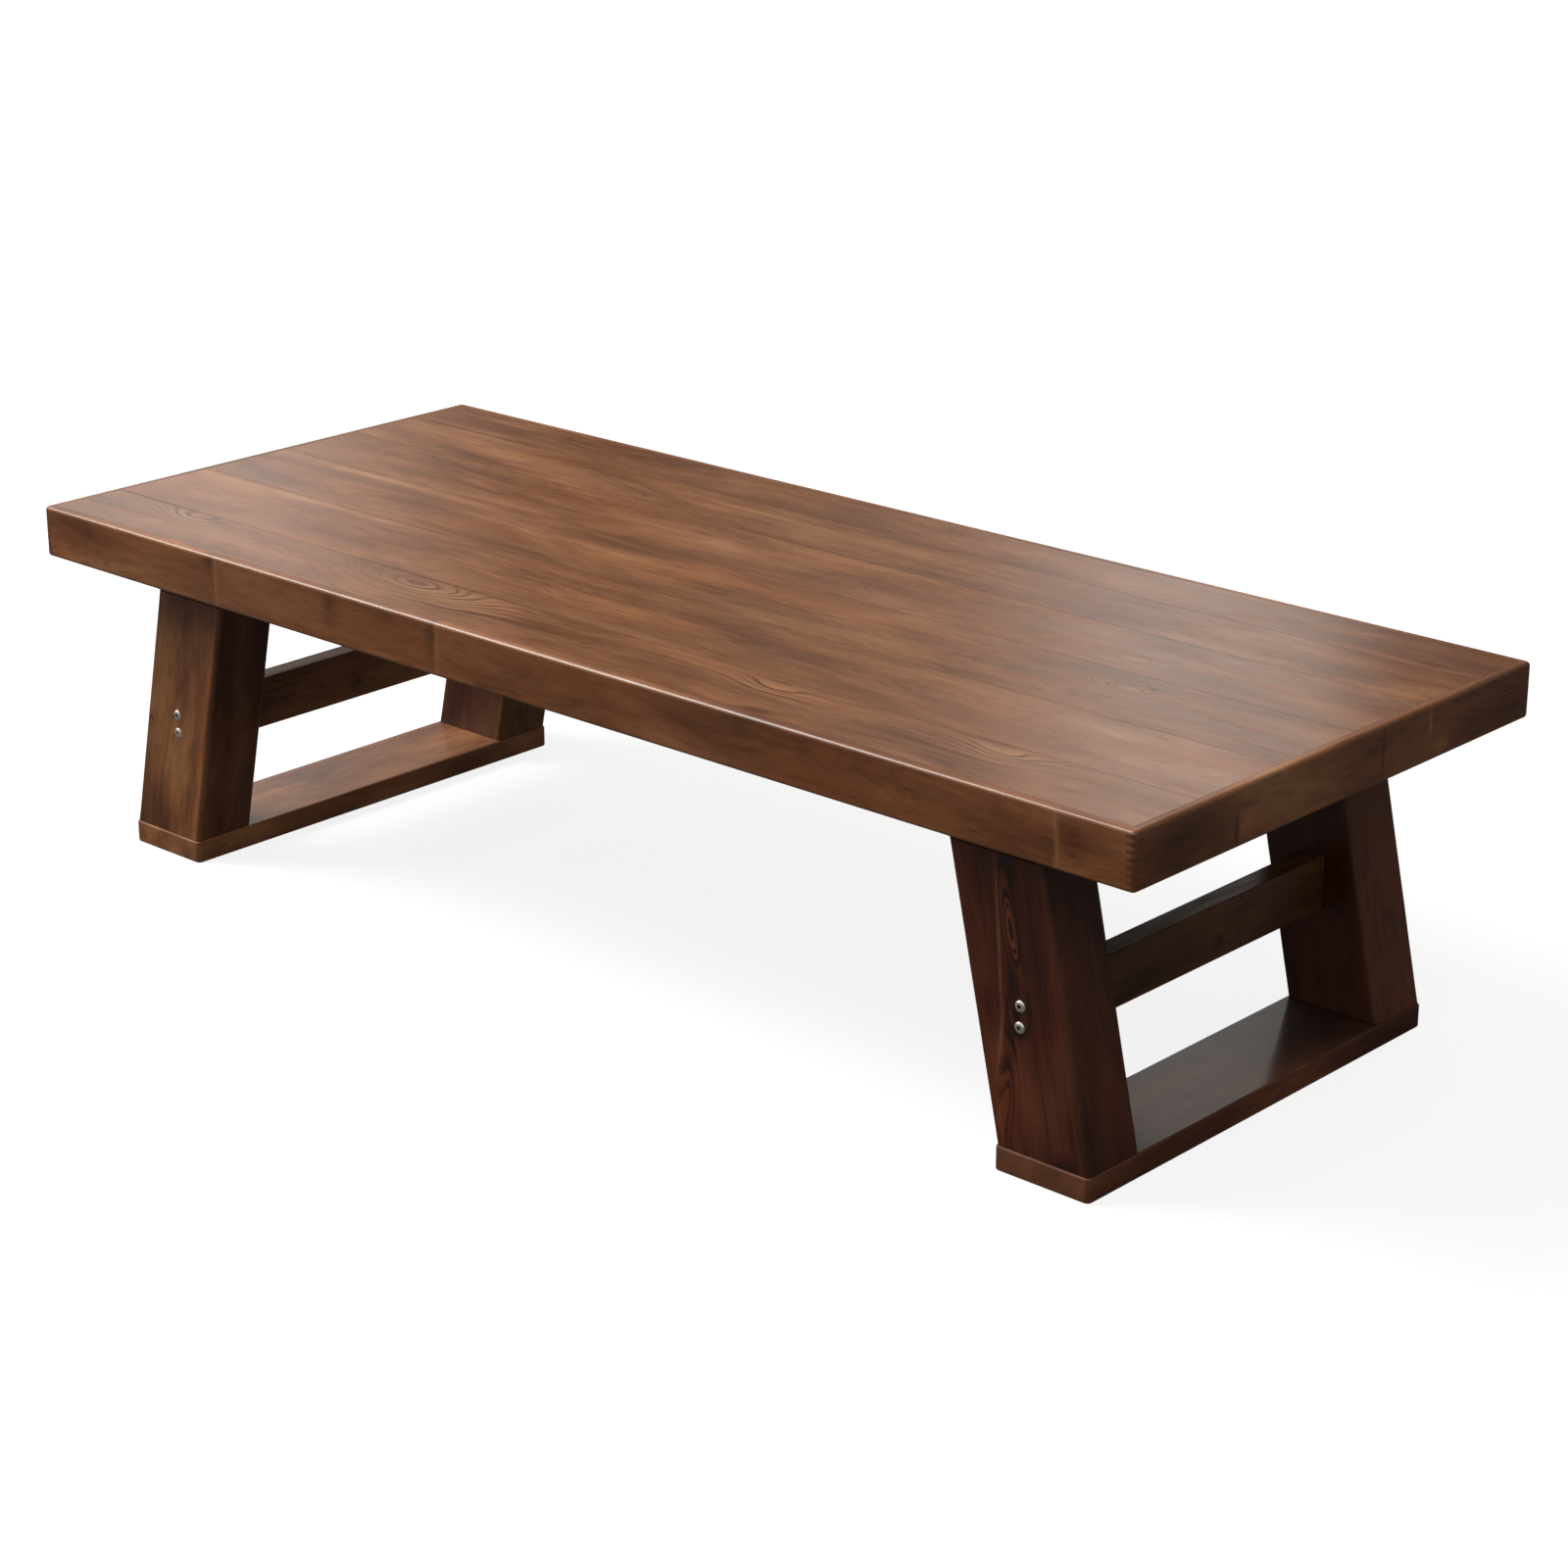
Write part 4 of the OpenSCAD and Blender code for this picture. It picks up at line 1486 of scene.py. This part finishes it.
@dataclass
class Fasteners:
    """Bolts, inserts, washers and screws. Those that show get crowned heads."""

    plated: dict[str, PlatedSteel] = field(
        default_factory=lambda: {
            "frame_bolts": NICKEL,
            "frame_washers": NICKEL,
            "stretcher_inserts": ZINC,
            "frame_inserts": ZINC,
            "top_screws": ZINC,
            "post_screws": ZINC,
        }
    )
    head_radius: float = 7 * MM
    crown_radius: float = 3.3 * MM
    crown_drop: float = 1.6 * MM
    head_thickness: float = 2.5 * MM
    shank_radius: float = 4 * MM
    bolt_length: float = 114 * MM
    socket_radius: float = 2.8 * MM
    socket_depth: float = 1.9 * MM
    socket_sides: int = 6
    turns: int = 48
    crown_steps: int = 8

    def crowned_bolt(self, bm: bmesh.types.BMesh, place: Matrix) -> None:
        """Adds one bolt with a low crowned head, its outer face at the place's origin.

        Args:
            bm: The mesh that gets the bolt.
            place: Where the bolt goes. It points into the wood along its Z.
        """
        outline = []
        for step in range(self.crown_steps + 1):
            share = step / self.crown_steps
            out = self.crown_radius + share * (self.head_radius - self.crown_radius)
            outline.append((out, self.crown_drop * share**2))
        outline += [
            (self.head_radius, self.head_thickness),
            (self.shank_radius, self.head_thickness),
            (self.shank_radius, self.bolt_length),
        ]
        angles = [2 * math.pi * k / self.turns for k in range(self.turns)]
        loft(
            bm,
            [
                [place @ Vector((out * math.cos(a), out * math.sin(a), deep)) for a in angles]
                for out, deep in outline
            ],
        )

    def stretcher_bolts(self) -> None:
        """Builds the eight bolts that show, with crowned heads and hexagon sockets."""
        low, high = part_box("stretcher_bolts")
        bodies, sockets = bmesh.new(), bmesh.new()
        for side in Side:
            for row in Row:
                for z in (low.z + self.head_radius, high.z - self.head_radius):
                    x = side.value * (high.x - self.head_radius)
                    face = Matrix.Translation((x, row.value * high.y, z))
                    place = face @ Matrix.Rotation(row.value * math.pi / 2, 4, "X")
                    self.crowned_bolt(bodies, place)
                    add_rod(sockets, place, self.socket_radius, 2 * self.socket_depth, self.socket_sides)
        obj = mesh_object("stretcher_bolts" + SHAPED, bodies)
        carve(obj, mesh_object("cutter", sockets))
        NICKEL.dress(obj)
        finish_piece(obj, "stretcher_bolts")

    def build(self) -> None:
        """Builds the bolts that show, and plates every other fastener."""
        self.stretcher_bolts()
        for node, metal in self.plated.items():
            metal.dress(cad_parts[node])
            log.info("%s: plated", node)


@dataclass(frozen=True)
class Lamp:
    """Soft rectangular lamp: where it hangs, its width and height, and its power in watts."""

    name: str
    place: tuple[float, float, float]
    size: tuple[float, float]
    power: float


@dataclass
class Studio:
    """Pale floor, soft lamps and the camera.

    walls is what the lacquer mirrors, as a grey for each compass angle, and glow is how white the
    camera sees the floor from the table's shadow out to the distances in glow_reach.
    """

    lamps: tuple[Lamp, ...] = (
        Lamp("key_lamp", (-3.6, -2.0, 4.3), (2.8, 2.8), 356.0),
        Lamp("fill_lamp", (1.9, -4.2, 2.6), (3.0, 2.0), 26.0),
    )
    aim: tuple[float, float, float] = (0.0, 0.0, 0.3)
    floor_half: float = 60.0
    floor_colour: str = "#8c8a88"
    floor_bounce: str = "#504e4c"
    glow: tuple[float, float] = (0.84, 1.0)
    glow_reach: tuple[float, float] = (1.6, 6.0)
    floor_mirrored: float = 0.04
    camera_place: tuple[float, float, float] = (2.9346, -3.1312, 1.76)
    camera_turn: float = 42.364
    camera_dip: float = 20.041
    sensor: float = 36.0
    focal: float = 83.325
    sky: float = 0.4
    walls: tuple[tuple[float, str], ...] = (
        (-180, "#8e8c8a"),
        (32.4, "#4c4846"),
        (33.8, "#f2f0ec"),
        (37.3, "#f2f0ec"),
        (38.6, "#8c8884"),
        (44.0, "#66625e"),
        (46.0, "#3c3836"),
        (48.6, "#8a8682"),
        (50.2, "#dddad6"),
        (120, "#dddad6"),
        (180, "#8e8c8a"),
    )

    def mirrored(self, tree: bpy.types.NodeTree, light: bpy.types.Node) -> bpy.types.Node:
        """Tells rays that come from a mirror or through glass from the others.

        Args:
            tree: The tree.
            light: Its Light Path node.

        Returns:
            The node, which is 1 for those rays.
        """
        rays = (light.outputs["Is Glossy Ray"], light.outputs["Is Transmission Ray"])
        return add_node(tree, "Math", rays, operation="MAXIMUM")

    def floor(self) -> None:
        """Wide floor, white to the camera and pale in mirrors, that keeps the table's shadow."""
        bm = bmesh.new()
        bmesh.ops.create_grid(bm, x_segments=1, y_segments=1, size=self.floor_half)
        obj = mesh_object("floor", bm)
        material, t = new_material("pale_matt_floor")
        light = add_node(t, "LightPath")
        seen = light.outputs["Is Camera Ray"]
        away = add_node(t, "VectorMath", (add_node(t, "TexCoord").outputs["Object"],), operation="LENGTH")
        glow = add_node(t, "MapRange", (away.outputs["Value"], *self.glow_reach, *self.glow))
        lift = add_node(t, "Math", (self.mirrored(t, light), self.floor_mirrored), operation="MULTIPLY")
        lift = add_node(t, "Math", (seen, glow, lift), operation="MULTIPLY_ADD")
        paint = add_node(t, "MixRGB", (seen, linear(self.floor_bounce), linear(self.floor_colour)))
        matt = add_node(t, "BsdfDiffuse", {"Color": paint})
        glow = add_node(t, "Emission", {"Color": (1, 1, 1, 1), "Strength": lift})
        both = add_node(t, "AddShader", (matt, glow))
        add_node(t, "OutputMaterial", {"Surface": both})
        put_on(obj, material)

    def world(self) -> None:
        """Even pale surroundings, white to the camera, with two tall white walls that the lacquer mirrors."""
        world = bpy.data.worlds.new("studio")
        world.use_nodes = True
        bpy.context.scene.world = world
        t = world.node_tree
        t.nodes.clear()
        light = add_node(t, "LightPath")
        aim = add_node(t, "SeparateXYZ", (add_node(t, "TexCoord").outputs["Generated"],))
        left = add_node(t, "Math", (aim.outputs[0], -1.0), operation="MULTIPLY")
        turn = add_node(t, "Math", (left, aim.outputs[1]), operation="ARCTAN2")
        turn = add_node(t, "Math", (turn,), operation="DEGREES")
        walls = add_node(
            t,
            "ValToRGB",
            (add_node(t, "MapRange", (turn, -180.0, 180.0)),),
            stops=tuple(((180 + angle) / 360, code) for angle, code in self.walls),
        )
        sky = (self.sky, self.sky, self.sky, 1)
        ambient = add_node(t, "MixRGB", (self.mirrored(t, light), sky, walls))
        colour = add_node(t, "MixRGB", (light.outputs["Is Camera Ray"], ambient, (1, 1, 1, 1)))
        shader = add_node(t, "Background", {"Color": colour, "Strength": 1.0})
        add_node(t, "OutputWorld", {"Surface": shader})

    def hang(self, lamp: Lamp) -> None:
        """Hangs a lamp that looks at the middle of the table.

        Args:
            lamp: The lamp.
        """
        data = bpy.data.lights.new(lamp.name, "AREA")
        data.shape = "RECTANGLE"
        data.size, data.size_y = lamp.size
        data.energy = lamp.power
        obj = bpy.data.objects.new(lamp.name, data)
        obj.location = lamp.place
        obj.rotation_euler = (Vector(self.aim) - obj.location).to_track_quat("-Z", "Y").to_euler()
        bpy.context.scene.collection.objects.link(obj)

    def camera(self) -> None:
        """Camera at the photograph's place and angle."""
        data = bpy.data.cameras.new("camera")
        data.sensor_width = self.sensor
        data.lens = self.focal
        obj = bpy.data.objects.new("camera", data)
        obj.location = self.camera_place
        obj.rotation_euler = (math.radians(90 - self.camera_dip), 0, math.radians(self.camera_turn))
        bpy.context.scene.collection.objects.link(obj)
        bpy.context.scene.camera = obj

    def build(self) -> None:
        """Sets up the studio."""
        self.floor()
        self.world()
        for lamp in self.lamps:
            self.hang(lamp)
        self.camera()
        bpy.context.scene.view_settings.view_transform = "Standard"
        log.info("studio: floor, walls, lamps and camera")


def main() -> None:
    """Builds the table's sub-assemblies and the studio in order."""
    logging.basicConfig(level=logging.INFO, format="%(name)s %(message)s")
    EdgeBoards().build()
    TopPlanks().build()
    LegFrame(Side.LEFT).build()
    LegFrame(Side.RIGHT).build()
    HiddenWood().build()
    Fasteners().build()
    Studio().build()


if __name__ == "__main__":
    main()
